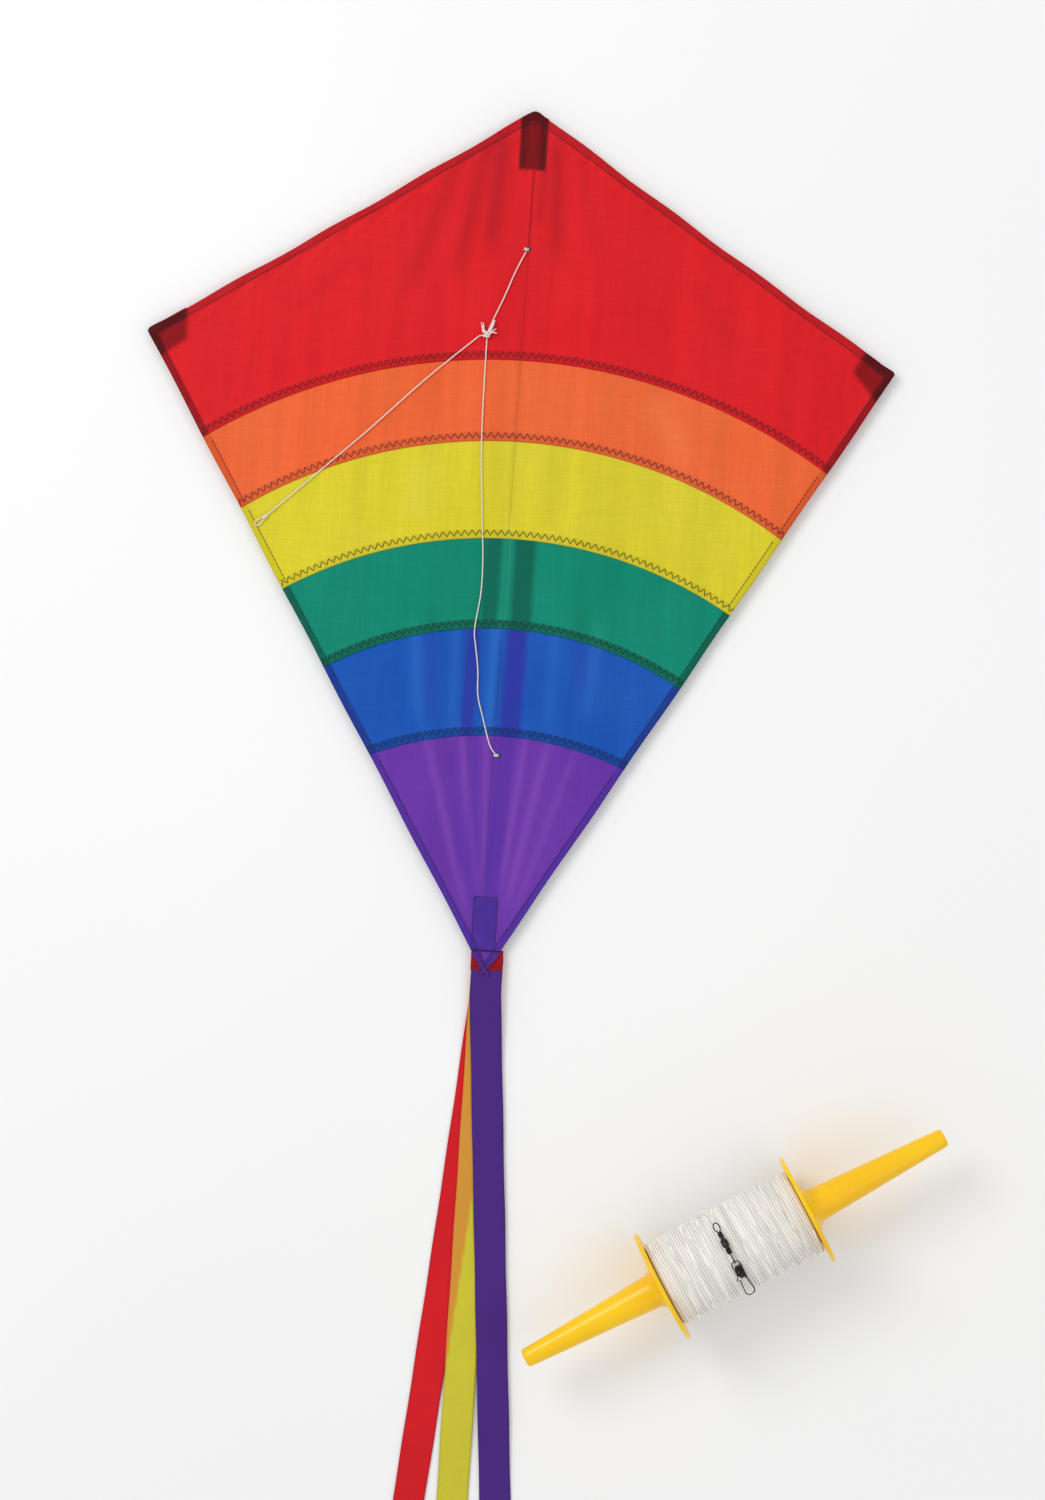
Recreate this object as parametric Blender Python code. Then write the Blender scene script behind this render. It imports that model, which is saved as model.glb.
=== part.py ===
"""Diamond kite with six sail bands, bridle, ribbon tails and a two-handled line winder.

The kite lies face up. The origin is on the floor below the crossing of the spars,
+X runs to the right wing, +Y to the nose and +Z up out of the sail.
"""

from math import acos, atan2, cos, hypot, pi, radians, sin, sqrt

import bmesh
import bpy
from mathutils import Vector, geometry

# Sail outline and seams
HALF_SPAN = 0.263
NOSE_Y = 0.170
TAIL_Y = -0.4374
TAIL_TRIM = 0.0026
SEAM_APEXES = (-0.0068, -0.0636, -0.1317, -0.1947, -0.2698)
SEAM_RADII = (0.394, 0.341, 0.300, 0.243, 0.225)
PANEL_GAP = 0.0004
CLOTH = 0.0005
EDGE_Z = 0.0062
CROWN = 0.0024
CROWN_POWER = 1.4
COLUMNS = 24

# Spars, caps and the moulded cross
ROD_R = 0.0015
ROD_END_Z = 0.0033
SPINE_RISE = 0.0034
SPINE_NOSE = 0.164
SPINE_TAIL = -0.417
WING_ROD_END = 0.255
CAP_R = 0.0025
CAP_BORE_R = 0.0018
CAP_LENGTH = 0.009
CAP_WALL = 0.0016
CROSS_SIZE = 0.015
CROSS_HEIGHT = 0.008
GROOVE_R = 0.00185

# Pockets
POCKET_RIM_Z = 0.0052
NOSE_POCKET = (0.010, 0.127, 0.1655)
TAIL_POCKET = (0.008, -0.4205, -0.3821)
WING_POCKET_UPPER = (-0.0260, 0.0168)
WING_POCKET_LOWER = (-0.0160, -0.0266)

# Bridle
UPPER_TIE_Y = 0.0711
LOWER_TIE_Y = -0.2833
TIE_HOLE_R = 0.0033
TIE_WIRE_R = 0.0006
LINE_R = 0.00065
LINE_CLEAR = 0.00035
KNOT = (-0.0243, 0.0134)
LOWER_LEG = (
    (-0.0246, 0.0064), (-0.0242, -0.0588), (-0.0209, -0.1126), (-0.0183, -0.1447),
    (-0.0181, -0.1706), (-0.0211, -0.1960), (-0.0198, -0.2065), (-0.0170, -0.2246),
    (-0.0160, -0.2420), (-0.0115, -0.2579), (-0.0055, -0.2771), (-0.0016, -0.2823),
)
UPPER_LEG = ((-0.0206, 0.0214), (-0.0140, 0.0372), (-0.0075, 0.0548), (-0.0010, 0.0692))
LEADER = ((-0.0300, 0.0086), (-0.0660, -0.0240), (-0.1030, -0.0610), (-0.1400, -0.0960), (-0.1720, -0.1262))
LEADER_LOOP_R = 0.0035

# Ribbon tails
TAIL_WIDTH = 0.0230
TAIL_LENGTH = 0.800
TAIL_START_Y = -0.4364
TAIL_ROOT_Z = 0.0036
TAIL_LAYER = 0.0008
TAIL_FLOOR_Z = 0.0003
TAIL_DROP = 0.070
TAIL_SPREAD = (0.30, 0.38)
TAIL_TAB_X = 0.0014
TAIL_TOGETHER = 0.0150
TAIL_TAB = (0.011, -0.4358, -0.4215)

# Winder
WINDER_CENTRE = (0.184, -0.612, 0.040)
WINDER_ANGLE = radians(31.3)
FLANGE_R = 0.040
FLANGE_IN = 0.0550
FLANGE_RIM = 0.0030
HUB_R = 0.0240
HANDLE_TIP = 0.1635
HANDLE_TIP_R = 0.0066
HANDLE_ROOT_R = 0.0118
WINDING_R = 0.0310
WINDING_SLACK = 0.0004

# Swivel and snap, laid round the winding
CHAIN_A = -0.004
SWIVEL_ANGLE = radians(-20.0)
SWIVEL_RADIUS = 0.0344
BARREL_R = 0.0026
BARREL_HALF = 0.0035
NECK_R = 0.0019
NECK_LENGTH = 0.0045
EYE_FAR = 0.0152
EYE_HALF = 0.0022
WIRE_R = 0.00045
LINK_Y = 0.0139
SNAP_RADIUS = 0.0330
SNAP_LENGTH = 0.0320
SNAP_HALF = 0.0037
RING_HALF = 0.0028
SLEEVE_START = 0.0052
SLEEVE_LENGTH = 0.0115
SLEEVE_HALF_THICK = 0.0009

BANDS = {
    "sail_red": (0.75, 0.012, 0.020),
    "sail_orange": (0.87, 0.13, 0.030),
    "sail_yellow": (0.74, 0.66, 0.028),
    "sail_green": (0.0, 0.24, 0.14),
    "sail_blue": (0.010, 0.080, 0.49),
    "sail_purple": (0.14, 0.027, 0.38),
}


def clear_scene():
    for old in list(bpy.data.objects):
        bpy.data.objects.remove(old, do_unlink=True)


def material(name, colour, roughness=0.6, metallic=0.0):
    made = bpy.data.materials.new(name)
    made.use_nodes = True
    shader = made.node_tree.nodes["Principled BSDF"]
    shader.inputs["Base Color"].default_value = (*colour, 1.0)
    shader.inputs["Roughness"].default_value = roughness
    shader.inputs["Metallic"].default_value = metallic
    return made


def add(name, data, colour, roughness=0.6, metallic=0.0, parent=None):
    """Link a mesh or curve to the scene under its own name and material."""
    made = bpy.data.objects.new(name, data)
    bpy.context.scene.collection.objects.link(made)
    data.materials.append(material(name, colour, roughness, metallic))
    made.parent = parent
    return made


def empty(name, place, parent=None, turn=(0.0, 0.0, 0.0)):
    made = bpy.data.objects.new(name, None)
    bpy.context.scene.collection.objects.link(made)
    made.location = place
    made.rotation_euler = turn
    made.parent = parent
    return made


def mesh_from(name, bm):
    bmesh.ops.recalc_face_normals(bm, faces=bm.faces)
    data = bpy.data.meshes.new(name)
    bm.to_mesh(data)
    bm.free()
    return data


# ---------------------------------------------------------------- sail shape

def half_width(y):
    if y > 0.0:
        return HALF_SPAN * (NOSE_Y - y) / NOSE_Y
    return HALF_SPAN * (y - TAIL_Y) / -TAIL_Y


def spine_lift(y):
    """1 at the crossing of the spars, falling smoothly to 0 at both ends of the spine."""
    reach = SPINE_NOSE if y > 0.0 else -SPINE_TAIL
    return cos(0.5 * pi * min(abs(y) / reach, 1.0)) ** 2


def spine_z(y):
    return ROD_END_Z + SPINE_RISE * spine_lift(y)


def sail_under(x, y):
    across = min(abs(x) / max(half_width(y), 1e-4), 1.0)
    return EDGE_Z + CROWN * spine_lift(y) * (1.0 - across) ** CROWN_POWER


def sail_top(x, y):
    return sail_under(x, y) + CLOTH


def seam_y(seam, x):
    radius = SEAM_RADII[seam]
    return SEAM_APEXES[seam] - radius + sqrt(radius * radius - x * x)


def seam_end(seam):
    """Half-width of the sail where a seam meets its edge."""
    x = half_width(SEAM_APEXES[seam])
    for _ in range(60):
        x = half_width(seam_y(seam, x))
    return x


def seam_line(seam, shift):
    reach = seam_end(seam)
    return lambda s: (reach * s, seam_y(seam, reach * s) + shift)


def cloth_grid(name, colour, columns, rows, place, thickness=CLOTH):
    """A sheet whose underside point (x, y, z) is place(s, t), thickened upwards."""
    bm = bmesh.new()
    bmesh.ops.create_grid(bm, x_segments=columns, y_segments=rows, size=1.0)
    for vertex in bm.verts:
        vertex.co = Vector(place(vertex.co.x, vertex.co.y))
    data = bpy.data.meshes.new(name)
    bm.to_mesh(data)
    bm.free()
    sheet = add(name, data, colour, 0.75)
    solid = sheet.modifiers.new("thickness", "SOLIDIFY")
    solid.thickness = thickness
    solid.offset = 1.0
    return sheet


def sail_panel(name, colour, upper, lower, rows):
    def place(s, t):
        mix = 0.5 * (t + 1.0)
        top = upper(s)
        bottom = lower(s)
        x = bottom[0] + (top[0] - bottom[0]) * mix
        y = bottom[1] + (top[1] - bottom[1]) * mix
        return x, y, sail_under(x, y)
    return cloth_grid(name, colour, COLUMNS, rows, place)


def nose_edges(s):
    return HALF_SPAN * s, NOSE_Y * (1.0 - abs(s))


def tail_edge(s):
    y = TAIL_Y + TAIL_TRIM
    return half_width(y) * s, y


def make_sail():
    names = list(BANDS)
    panels = []
    for band, name in enumerate(names):
        upper = nose_edges if band == 0 else seam_line(band - 1, -0.5 * PANEL_GAP)
        lower = tail_edge if band == len(SEAM_APEXES) else seam_line(band, 0.5 * PANEL_GAP)
        rows = 7 if band in (0, 5) else 3
        panels.append(sail_panel(name, BANDS[name], upper, lower, rows))
    pierce(panels[0], "upper_hole_cutter", UPPER_TIE_Y)
    pierce(panels[5], "lower_hole_cutter", LOWER_TIE_Y)


def cylinder(name, radius, length, segments=16):
    bm = bmesh.new()
    bmesh.ops.create_cone(
        bm, cap_ends=True, segments=segments, radius1=radius, radius2=radius, depth=length)
    return mesh_from(name, bm)


def cutter(name, data, place, turn=(0.0, 0.0, 0.0)):
    made = bpy.data.objects.new(name, data)
    bpy.context.scene.collection.objects.link(made)
    made.location = place
    made.rotation_euler = turn
    made.hide_render = True
    made.display_type = "WIRE"
    return made


def cut(target, tool):
    step = target.modifiers.new(tool.name, "BOOLEAN")
    step.operation = "DIFFERENCE"
    step.object = tool


def pierce(panel, name, y):
    cut(panel, cutter(name, cylinder(name, TIE_HOLE_R, 0.02), (0.0, y, sail_top(0.0, y))))


# ---------------------------------------------------------------- frame

def tube(name, points, radius, colour, roughness=0.5, metallic=0.0, parent=None, cyclic=False):
    """A round bar or cord: a poly curve with a bevel and filled caps."""
    data = bpy.data.curves.new(name, "CURVE")
    data.dimensions = "3D"
    data.bevel_depth = radius
    data.bevel_resolution = 2
    data.use_fill_caps = True
    line = data.splines.new("POLY")
    line.points.add(len(points) - 1)
    for slot, point in zip(line.points, points):
        slot.co = (*point, 1.0)
    line.use_cyclic_u = cyclic
    return add(name, data, colour, roughness, metallic, parent)


def turned(name, profile, colour, segments, roughness, metallic=0.0, parent=None):
    """A solid of revolution about local Z from (radius, height) points on a closed outline."""
    bm = bmesh.new()
    rings = [bm.verts.new((r, 0.0, h)) for r, h in profile]
    edges = [bm.edges.new((a, b)) for a, b in zip(rings, rings[1:])]
    if profile[0][0] > 0.0:
        edges.append(bm.edges.new((rings[-1], rings[0])))
    bmesh.ops.spin(bm, geom=rings + edges, axis=(0.0, 0.0, 1.0), cent=(0.0, 0.0, 0.0),
                   steps=segments, angle=2.0 * pi, use_merge=True)
    bmesh.ops.remove_doubles(bm, verts=bm.verts, dist=0.00001)
    data = mesh_from(name, bm)
    data.shade_smooth()
    data.set_sharp_from_angle(angle=radians(35.0))
    return add(name, data, colour, roughness, metallic, parent)


def make_spars():
    steps = 18
    heights = [SPINE_TAIL + (SPINE_NOSE - SPINE_TAIL) * i / steps for i in range(steps + 1)]
    tube("spine", [(0.0, y, spine_z(y)) for y in heights], ROD_R, (0.02, 0.02, 0.02), 0.45)
    cross = [(-WING_ROD_END, 0.0, ROD_END_Z), (0.0, 0.0, ROD_END_Z), (WING_ROD_END, 0.0, ROD_END_Z)]
    tube("cross_spar", cross, ROD_R, (0.02, 0.02, 0.02), 0.45)


def make_end_caps():
    """Four moulded cups over the rod ends, open towards the rod."""
    profile = (
        (0.0, 0.0), (0.0018, 0.0), (CAP_R, 0.0007), (CAP_R, CAP_LENGTH),
        (CAP_BORE_R, CAP_LENGTH), (CAP_BORE_R, CAP_WALL), (0.0, CAP_WALL),
    )
    reach = CAP_WALL + 0.0004
    places = {
        "nose_end_cap": ((0.0, SPINE_NOSE + reach, ROD_END_Z), (0.0, -1.0, 0.0)),
        "tail_end_cap": ((0.0, SPINE_TAIL - reach, ROD_END_Z), (0.0, 1.0, 0.0)),
        "left_end_cap": ((-WING_ROD_END - reach, 0.0, ROD_END_Z), (1.0, 0.0, 0.0)),
        "right_end_cap": ((WING_ROD_END + reach, 0.0, ROD_END_Z), (-1.0, 0.0, 0.0)),
    }
    for name, (place, aim) in places.items():
        cap = turned(name, profile, (0.02, 0.02, 0.02), 14, 0.5)
        cap.location = place
        cap.rotation_euler = Vector(aim).to_track_quat("Z", "Y").to_euler()


def make_cross_connector():
    """The moulded cross: a bore for the cross spar below, an open groove for the spine above."""
    bm = bmesh.new()
    bmesh.ops.create_cube(bm, size=1.0)
    bmesh.ops.scale(bm, vec=(CROSS_SIZE, CROSS_SIZE, CROSS_HEIGHT), verts=bm.verts)
    block = add("cross_connector", mesh_from("cross_connector", bm), (0.02, 0.02, 0.02), 0.5)
    block.location = (0.0, 0.0, 0.5 * CROSS_HEIGHT)
    soften = block.modifiers.new("edges", "BEVEL")
    soften.width = 0.0009
    soften.segments = 2
    bore = cylinder("bore_cutter", GROOVE_R, 0.03)
    cut(block, cutter("bore_cutter", bore, (0.0, 0.0, ROD_END_Z), (0.0, 0.5 * pi, 0.0)))
    groove = cylinder("groove_cutter", GROOVE_R, 0.03)
    groove_place = (0.0, 0.0, ROD_END_Z + SPINE_RISE)
    cut(block, cutter("groove_cutter", groove, groove_place, (0.5 * pi, 0.0, 0.0)))
    mouth = bmesh.new()
    bmesh.ops.create_cube(mouth, size=1.0)
    bmesh.ops.scale(mouth, vec=(0.0030, 0.03, 0.0040), verts=mouth.verts)
    mouth_place = (0.0, 0.0, ROD_END_Z + SPINE_RISE + 0.0020)
    cut(block, cutter("mouth_cutter", mesh_from("mouth_cutter", mouth), mouth_place))


def pocket_z(distance):
    """Height of a pocket's underside: on the floor below the rod end, at the sail beside it."""
    flat, slope_end = 0.0040, 0.0085
    mix = min(max((distance - flat) / (slope_end - flat), 0.0), 1.0)
    return POCKET_RIM_Z * mix * mix * (3.0 - 2.0 * mix)


def make_pockets():
    def strip(half, y_low, y_high):
        def place(s, t):
            y = y_low + (y_high - y_low) * 0.5 * (t + 1.0)
            x = s * min(half, half_width(y) - 0.0008)
            return x, y, pocket_z(abs(x))
        return place

    def corner(side):
        def place(s, t):
            inward = 0.14 + 0.86 * 0.5 * (1.0 - side * s)
            low = Vector(WING_POCKET_LOWER) * inward
            high = Vector(WING_POCKET_UPPER) * inward
            spot = low.lerp(high, 0.5 * (t + 1.0))
            x = HALF_SPAN - 0.0008 + spot.x
            return side * x, spot.y, pocket_z(abs(spot.y))
        return place

    cloth_grid("nose_pocket", (0.30, 0.004, 0.008), 14, 4, strip(*NOSE_POCKET))
    cloth_grid("tail_pocket", (0.09, 0.02, 0.30), 14, 4, strip(*TAIL_POCKET))
    cloth_grid("left_wing_pocket", (0.30, 0.004, 0.008), 4, 22, corner(-1.0))
    cloth_grid("right_wing_pocket", (0.30, 0.004, 0.008), 4, 22, corner(1.0))


# ---------------------------------------------------------------- bridle

def smooth_route(points, spacing):
    """Evenly spread points on a smooth curve through the given ones."""
    ends = [points[0]] + list(points) + [points[-1]]
    route = []
    for before, start, end, after in zip(ends, ends[1:], ends[2:], ends[3:]):
        lead = (Vector(end) - Vector(before)) / 6.0
        trail = (Vector(after) - Vector(start)) / 6.0
        count = max(2, round((Vector(end) - Vector(start)).length / spacing))
        piece = geometry.interpolate_bezier(
            Vector(start), Vector(start) + lead, Vector(end) - trail, Vector(end), count + 1)
        route.extend(piece[:-1])
    route.append(Vector(points[-1]))
    return route


def on_sail(x, y):
    return Vector((x, y, sail_top(x, y) + LINE_CLEAR + LINE_R))


def make_bridle():
    cream = (0.80, 0.74, 0.68)
    for name, y in (("upper_bridle_tie", UPPER_TIE_Y), ("lower_bridle_tie", LOWER_TIE_Y)):
        ring_r = sail_top(0.0, y) + 0.0003 - spine_z(y)
        turns = [(ring_r * cos(2 * pi * i / 20), y, spine_z(y) + ring_r * sin(2 * pi * i / 20))
                 for i in range(20)]
        tube(name, turns, TIE_WIRE_R, cream, 0.8, cyclic=True)
    legs = {"upper_bridle_leg": UPPER_LEG, "lower_bridle_leg": LOWER_LEG, "leader_line": LEADER}
    for name, route in legs.items():
        tube(name, smooth_route([on_sail(*point) for point in route], 0.0052), LINE_R, cream, 0.8)

    bm = bmesh.new()
    bmesh.ops.create_uvsphere(bm, u_segments=14, v_segments=8, radius=0.5)
    bmesh.ops.scale(bm, vec=(0.0085, 0.0100, 0.0050), verts=bm.verts)
    data = mesh_from("tow_knot", bm)
    data.shade_smooth()
    knot = add("tow_knot", data, cream, 0.85)
    knot.location = (*KNOT, sail_top(*KNOT) + LINE_CLEAR + 0.0025)

    toward = (Vector(LEADER[-1]) - Vector(LEADER[-2])).normalized()
    centre = Vector(LEADER[-1]) + toward * (LEADER_LOOP_R + 2.0 * LINE_R + 0.0003)
    height = on_sail(*centre).z
    loop = [(centre.x + LEADER_LOOP_R * cos(2 * pi * i / 18),
             centre.y + LEADER_LOOP_R * sin(2 * pi * i / 18), height) for i in range(18)]
    tube("leader_loop", loop, LINE_R, cream, 0.8, cyclic=True)


# ---------------------------------------------------------------- tails

def smoothstep(low, high, value):
    mix = min(max((value - low) / (high - low), 0.0), 1.0)
    return mix * mix * (3.0 - 2.0 * mix)


def make_tails():
    half, y_low, y_high = TAIL_TAB
    cloth_grid("tail_tab", (0.62, 0.01, 0.02), 2, 2, lambda s, t: (
        TAIL_TAB_X + s * half, y_low + (y_high - y_low) * 0.5 * (t + 1.0), TAIL_ROOT_Z + 2.0 * TAIL_LAYER))
    # name, layer from the bottom, start x, lean from the spine, sideways bow, colour
    ribbons = (
        ("tail_red", 0, 0.0018, -0.0840, -0.020, (0.62, 0.01, 0.02)),
        ("tail_yellow", 1, 0.0015, -0.0063, 0.004, (0.60, 0.56, 0.05)),
        ("tail_purple", 2, 0.0018, 0.0770, 0.006, (0.075, 0.02, 0.24)),
    )
    for name, layer, start_x, lean, bow, colour in ribbons:
        def place(s, t, layer=layer, start_x=start_x, lean=lean, bow=bow):
            along = TAIL_LENGTH * 0.5 * (1.0 - t)
            apart = max(along - TAIL_TOGETHER, 0.0)
            x = start_x + lean * apart + bow * apart * apart
            root = TAIL_ROOT_Z + layer * TAIL_LAYER
            stack = TAIL_FLOOR_Z + layer * TAIL_LAYER
            z = root + (stack - root) * smoothstep(0.0, TAIL_DROP, along)
            z += (TAIL_FLOOR_Z - stack) * smoothstep(*TAIL_SPREAD, along)
            return x + 0.5 * s * TAIL_WIDTH, TAIL_START_Y - along, z
        cloth_grid(name, colour, 1, 44, place)


# ---------------------------------------------------------------- winder

def arc(centre_r, centre_h, radius, start, end, count):
    """Points of a circular arc in (radius, height), angles in degrees from the radius axis."""
    return [(centre_r + radius * cos(radians(start + (end - start) * i / count)),
             centre_h + radius * sin(radians(start + (end - start) * i / count)))
            for i in range(count + 1)]


def winder_half():
    """Outline from the middle of the hub, over the flange and its flare, to the handle's tip."""
    rim = 0.5 * FLANGE_RIM
    outline = [(0.0, 0.0002), (HUB_R, 0.0002), (HUB_R, FLANGE_IN)]
    outline += arc(FLANGE_R - rim, FLANGE_IN + rim, rim, -90.0, 90.0, 4)
    outline += [(0.031, FLANGE_IN + 0.0018), (0.023, FLANGE_IN + 0.0024)]
    flare = 0.0075
    outline += arc(HANDLE_ROOT_R + flare, FLANGE_IN + 0.0034 + flare, flare, 265.0, 184.0, 5)
    tip_round = 0.0022
    outline += arc(HANDLE_TIP_R - tip_round, HANDLE_TIP - tip_round, tip_round, 4.0, 90.0, 3)
    outline.append((0.0, HANDLE_TIP))
    return outline


def make_winder(axis):
    yellow = (0.95, 0.52, 0.002)
    for name, aim in (("winder_left_half", -0.5 * pi), ("winder_right_half", 0.5 * pi)):
        half = turned(name, winder_half(), yellow, 36, 0.28, parent=axis)
        half.rotation_euler = (0.0, aim, 0.0)
    inner = HUB_R + 0.0003
    end = FLANGE_IN - WINDING_SLACK
    ring = [(inner, -end), (WINDING_R - 0.0012, -end), (WINDING_R, 0.004 - end),
            (WINDING_R, end - 0.004), (WINDING_R - 0.0012, end), (inner, end)]
    winding = turned("line_winding", ring, (0.84, 0.82, 0.78), 36, 0.6, parent=axis)
    winding.rotation_euler = (0.0, 0.5 * pi, 0.0)


def round_winding(angle, radius, a=CHAIN_A):
    """A place round the winding: the angle runs from the top towards the viewer's lower right."""
    return Vector((a, -radius * sin(angle), radius * cos(angle)))


def closed_wire(name, points, plane, radius, sides=8):
    """A ring of round wire whose points lie in the plane with the given normal."""
    bm = bmesh.new()
    rings = []
    for before, point, after in zip(points[-1:] + points[:-1], points, points[1:] + points[:1]):
        out = (Vector(after) - Vector(before)).cross(plane).normalized()
        turns = [2.0 * pi * side / sides for side in range(sides)]
        rings.append([bm.verts.new(Vector(point) + radius * (cos(a) * out + sin(a) * plane)) for a in turns])
    for ring, after in zip(rings, rings[1:] + rings[:1]):
        for side in range(sides):
            bm.faces.new((ring[side], ring[side - 1], after[side - 1], after[side]))
    return mesh_from(name, bm)


def eye(name, side, flat, frame, colour):
    """A wire eye with its wrapped neck, drawn along local Y on the given side of the barrel."""
    start = BARREL_HALF + 0.0003
    neck_end = start + NECK_LENGTH
    neck = [(0.0, start)]
    wraps = 4
    for wrap in range(wraps):
        low = start + NECK_LENGTH * wrap / wraps
        neck += [(NECK_R - 0.0003, low), (NECK_R, low + 0.5 * NECK_LENGTH / wraps)]
    neck += [(NECK_R - 0.0004, neck_end), (0.0, neck_end)]
    body = turned(name, neck, colour, 12, 0.25, 1.0, frame)
    body.rotation_euler = (-side * 0.5 * pi, 0.0, 0.0)

    middle = 0.5 * (neck_end + EYE_FAR) - 0.0006
    reach = EYE_FAR - middle
    loop = []
    for step in range(18):
        turn = 2.0 * pi * step / 18
        across = EYE_HALF * sin(turn)
        height = middle + reach * cos(turn)
        loop.append((across, 0.0, height) if flat else (0.0, across, height))
    plane = Vector((0.0, 1.0, 0.0)) if flat else Vector((1.0, 0.0, 0.0))
    guide = cutter(name + "_loop", closed_wire(name + "_loop", loop, plane, WIRE_R), (0.0, 0.0, 0.0))
    guide.parent = body
    join = body.modifiers.new("loop", "BOOLEAN")
    join.operation = "UNION"
    join.object = guide


def make_swivel(axis):
    metal = (0.045, 0.045, 0.050)
    frame = empty("swivel_frame", round_winding(SWIVEL_ANGLE, SWIVEL_RADIUS), axis,
                  (SWIVEL_ANGLE, 0.0, 0.0))
    side = BARREL_HALF
    barrel = turned("swivel_barrel", [
        (0.0, -side), (0.0012, -side), (0.0021, -0.8 * side), (BARREL_R, -0.35 * side),
        (BARREL_R, 0.35 * side), (0.0021, 0.8 * side), (0.0012, side), (0.0, side)],
        metal, 16, 0.2, 1.0, frame)
    barrel.rotation_euler = (0.5 * pi, 0.0, 0.0)
    eye("swivel_upper_eye", 1.0, True, frame, metal)
    eye("swivel_lower_eye", -1.0, False, frame, metal)


def make_snap(axis):
    """The interlock snap: a top ring, a folded sleeve, the fixed leg and the sprung gate leg."""
    metal = (0.045, 0.045, 0.050)
    link_radius = hypot(SWIVEL_RADIUS, LINK_Y)
    link_angle = SWIVEL_ANGLE + atan2(LINK_Y, SWIVEL_RADIUS)
    snap_angle = link_angle + acos(SNAP_RADIUS / link_radius)
    top = sqrt(link_radius ** 2 - SNAP_RADIUS ** 2)
    frame = empty("snap_frame", round_winding(snap_angle, SNAP_RADIUS), axis, (snap_angle, 0.0, 0.0))

    sleeve_top = top - SLEEVE_START
    sleeve_low = sleeve_top - SLEEVE_LENGTH
    bend = RING_HALF
    ring = [(-bend, sleeve_top + 0.0003, 0.0)]
    ring += [(bend * cos(radians(a)), top - bend + bend * sin(radians(a)), 0.0)
             for a in range(180, -1, -20)]
    ring += [(bend, sleeve_top + 0.0003, 0.0)]
    tube("snap_ring", ring, WIRE_R, metal, 0.25, 1.0, frame)

    bm = bmesh.new()
    bmesh.ops.create_cube(bm, size=1.0)
    size = (2.0 * SNAP_HALF, SLEEVE_LENGTH, 2.0 * SLEEVE_HALF_THICK)
    bmesh.ops.scale(bm, vec=size, verts=bm.verts)
    sleeve = add("snap_sleeve", mesh_from("snap_sleeve", bm), metal, 0.35, 1.0, frame)
    sleeve.location = (0.0, 0.5 * (sleeve_top + sleeve_low), 0.0)
    soften = sleeve.modifiers.new("edges", "BEVEL")
    soften.width = 0.0006
    soften.segments = 2

    bottom = top - SNAP_LENGTH
    turn = SNAP_HALF - WIRE_R
    leg_top = sleeve_low - 0.0003
    start = -75
    right = [(0.8 * turn, leg_top, 0.0)]
    right += [(turn * cos(radians(a)), bottom + turn + turn * sin(radians(a)), 0.0)
              for a in range(0, start - 1, -15)]
    tube("snap_leg", right, WIRE_R, metal, 0.25, 1.0, frame)
    gate = [(turn * cos(radians(a)), bottom + turn + turn * sin(radians(a)), 0.0)
            for a in range(-95, -181, -17)]
    gate += [(-0.8 * turn, leg_top, 0.0)]
    tube("snap_gate", gate, WIRE_R, metal, 0.25, 1.0, frame)


def make_line_end(axis):
    """The flying line's end: leaves the winding, rises and is tied at the swivel's upper eye."""
    eye_radius = hypot(SWIVEL_RADIUS, EYE_FAR)
    eye_angle = SWIVEL_ANGLE - atan2(EYE_FAR, SWIVEL_RADIUS)
    start_angle = radians(-112.0)
    route = []
    count = 9
    for step in range(count + 1):
        mix = step / count
        angle = start_angle + (eye_angle - radians(2.4) - start_angle) * mix
        rise = WINDING_R + 0.0009 + (eye_radius + 0.0002 - WINDING_R - 0.0009) * mix ** 1.6
        route.append(round_winding(angle, rise, CHAIN_A - 0.012 * (1.0 - mix) ** 1.5))
    tube("line_end", smooth_route(route, 0.0020), 0.00045, (0.84, 0.82, 0.78), 0.7, parent=axis)


def main():
    clear_scene()
    make_sail()
    make_spars()
    make_end_caps()
    make_cross_connector()
    make_pockets()
    make_bridle()
    make_tails()
    axis = empty("winder_axis", WINDER_CENTRE, turn=(0.0, 0.0, WINDER_ANGLE))
    make_winder(axis)
    make_swivel(axis)
    make_snap(axis)
    make_line_end(axis)


main()
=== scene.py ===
"""The looks of the diamond kite: sewn cloth, thread, twisted line, ribbons and the line winder."""

from math import acos, atan2, cos, hypot, pi, radians, sin, sqrt

import bpy
import numpy as np
from mathutils import Matrix, Vector, geometry, noise


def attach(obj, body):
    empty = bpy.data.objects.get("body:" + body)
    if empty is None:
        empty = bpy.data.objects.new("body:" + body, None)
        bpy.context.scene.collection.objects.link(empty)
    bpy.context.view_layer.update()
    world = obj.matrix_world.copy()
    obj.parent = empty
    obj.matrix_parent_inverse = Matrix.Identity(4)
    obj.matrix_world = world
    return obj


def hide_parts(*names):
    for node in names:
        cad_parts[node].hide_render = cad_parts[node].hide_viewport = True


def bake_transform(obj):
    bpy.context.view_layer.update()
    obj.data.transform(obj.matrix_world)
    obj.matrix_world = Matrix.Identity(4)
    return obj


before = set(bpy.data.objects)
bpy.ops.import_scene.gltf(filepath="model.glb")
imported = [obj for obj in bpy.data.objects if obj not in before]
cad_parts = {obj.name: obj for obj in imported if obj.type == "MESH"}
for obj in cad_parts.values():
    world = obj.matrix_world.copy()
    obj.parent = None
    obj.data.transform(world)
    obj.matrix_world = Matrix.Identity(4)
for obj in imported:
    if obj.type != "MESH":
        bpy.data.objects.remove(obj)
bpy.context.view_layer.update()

# The sizes below repeat the design's own, in metres
HALF_SPAN = 0.263
NOSE_Y = 0.170
TAIL_Y = -0.4374
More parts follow.
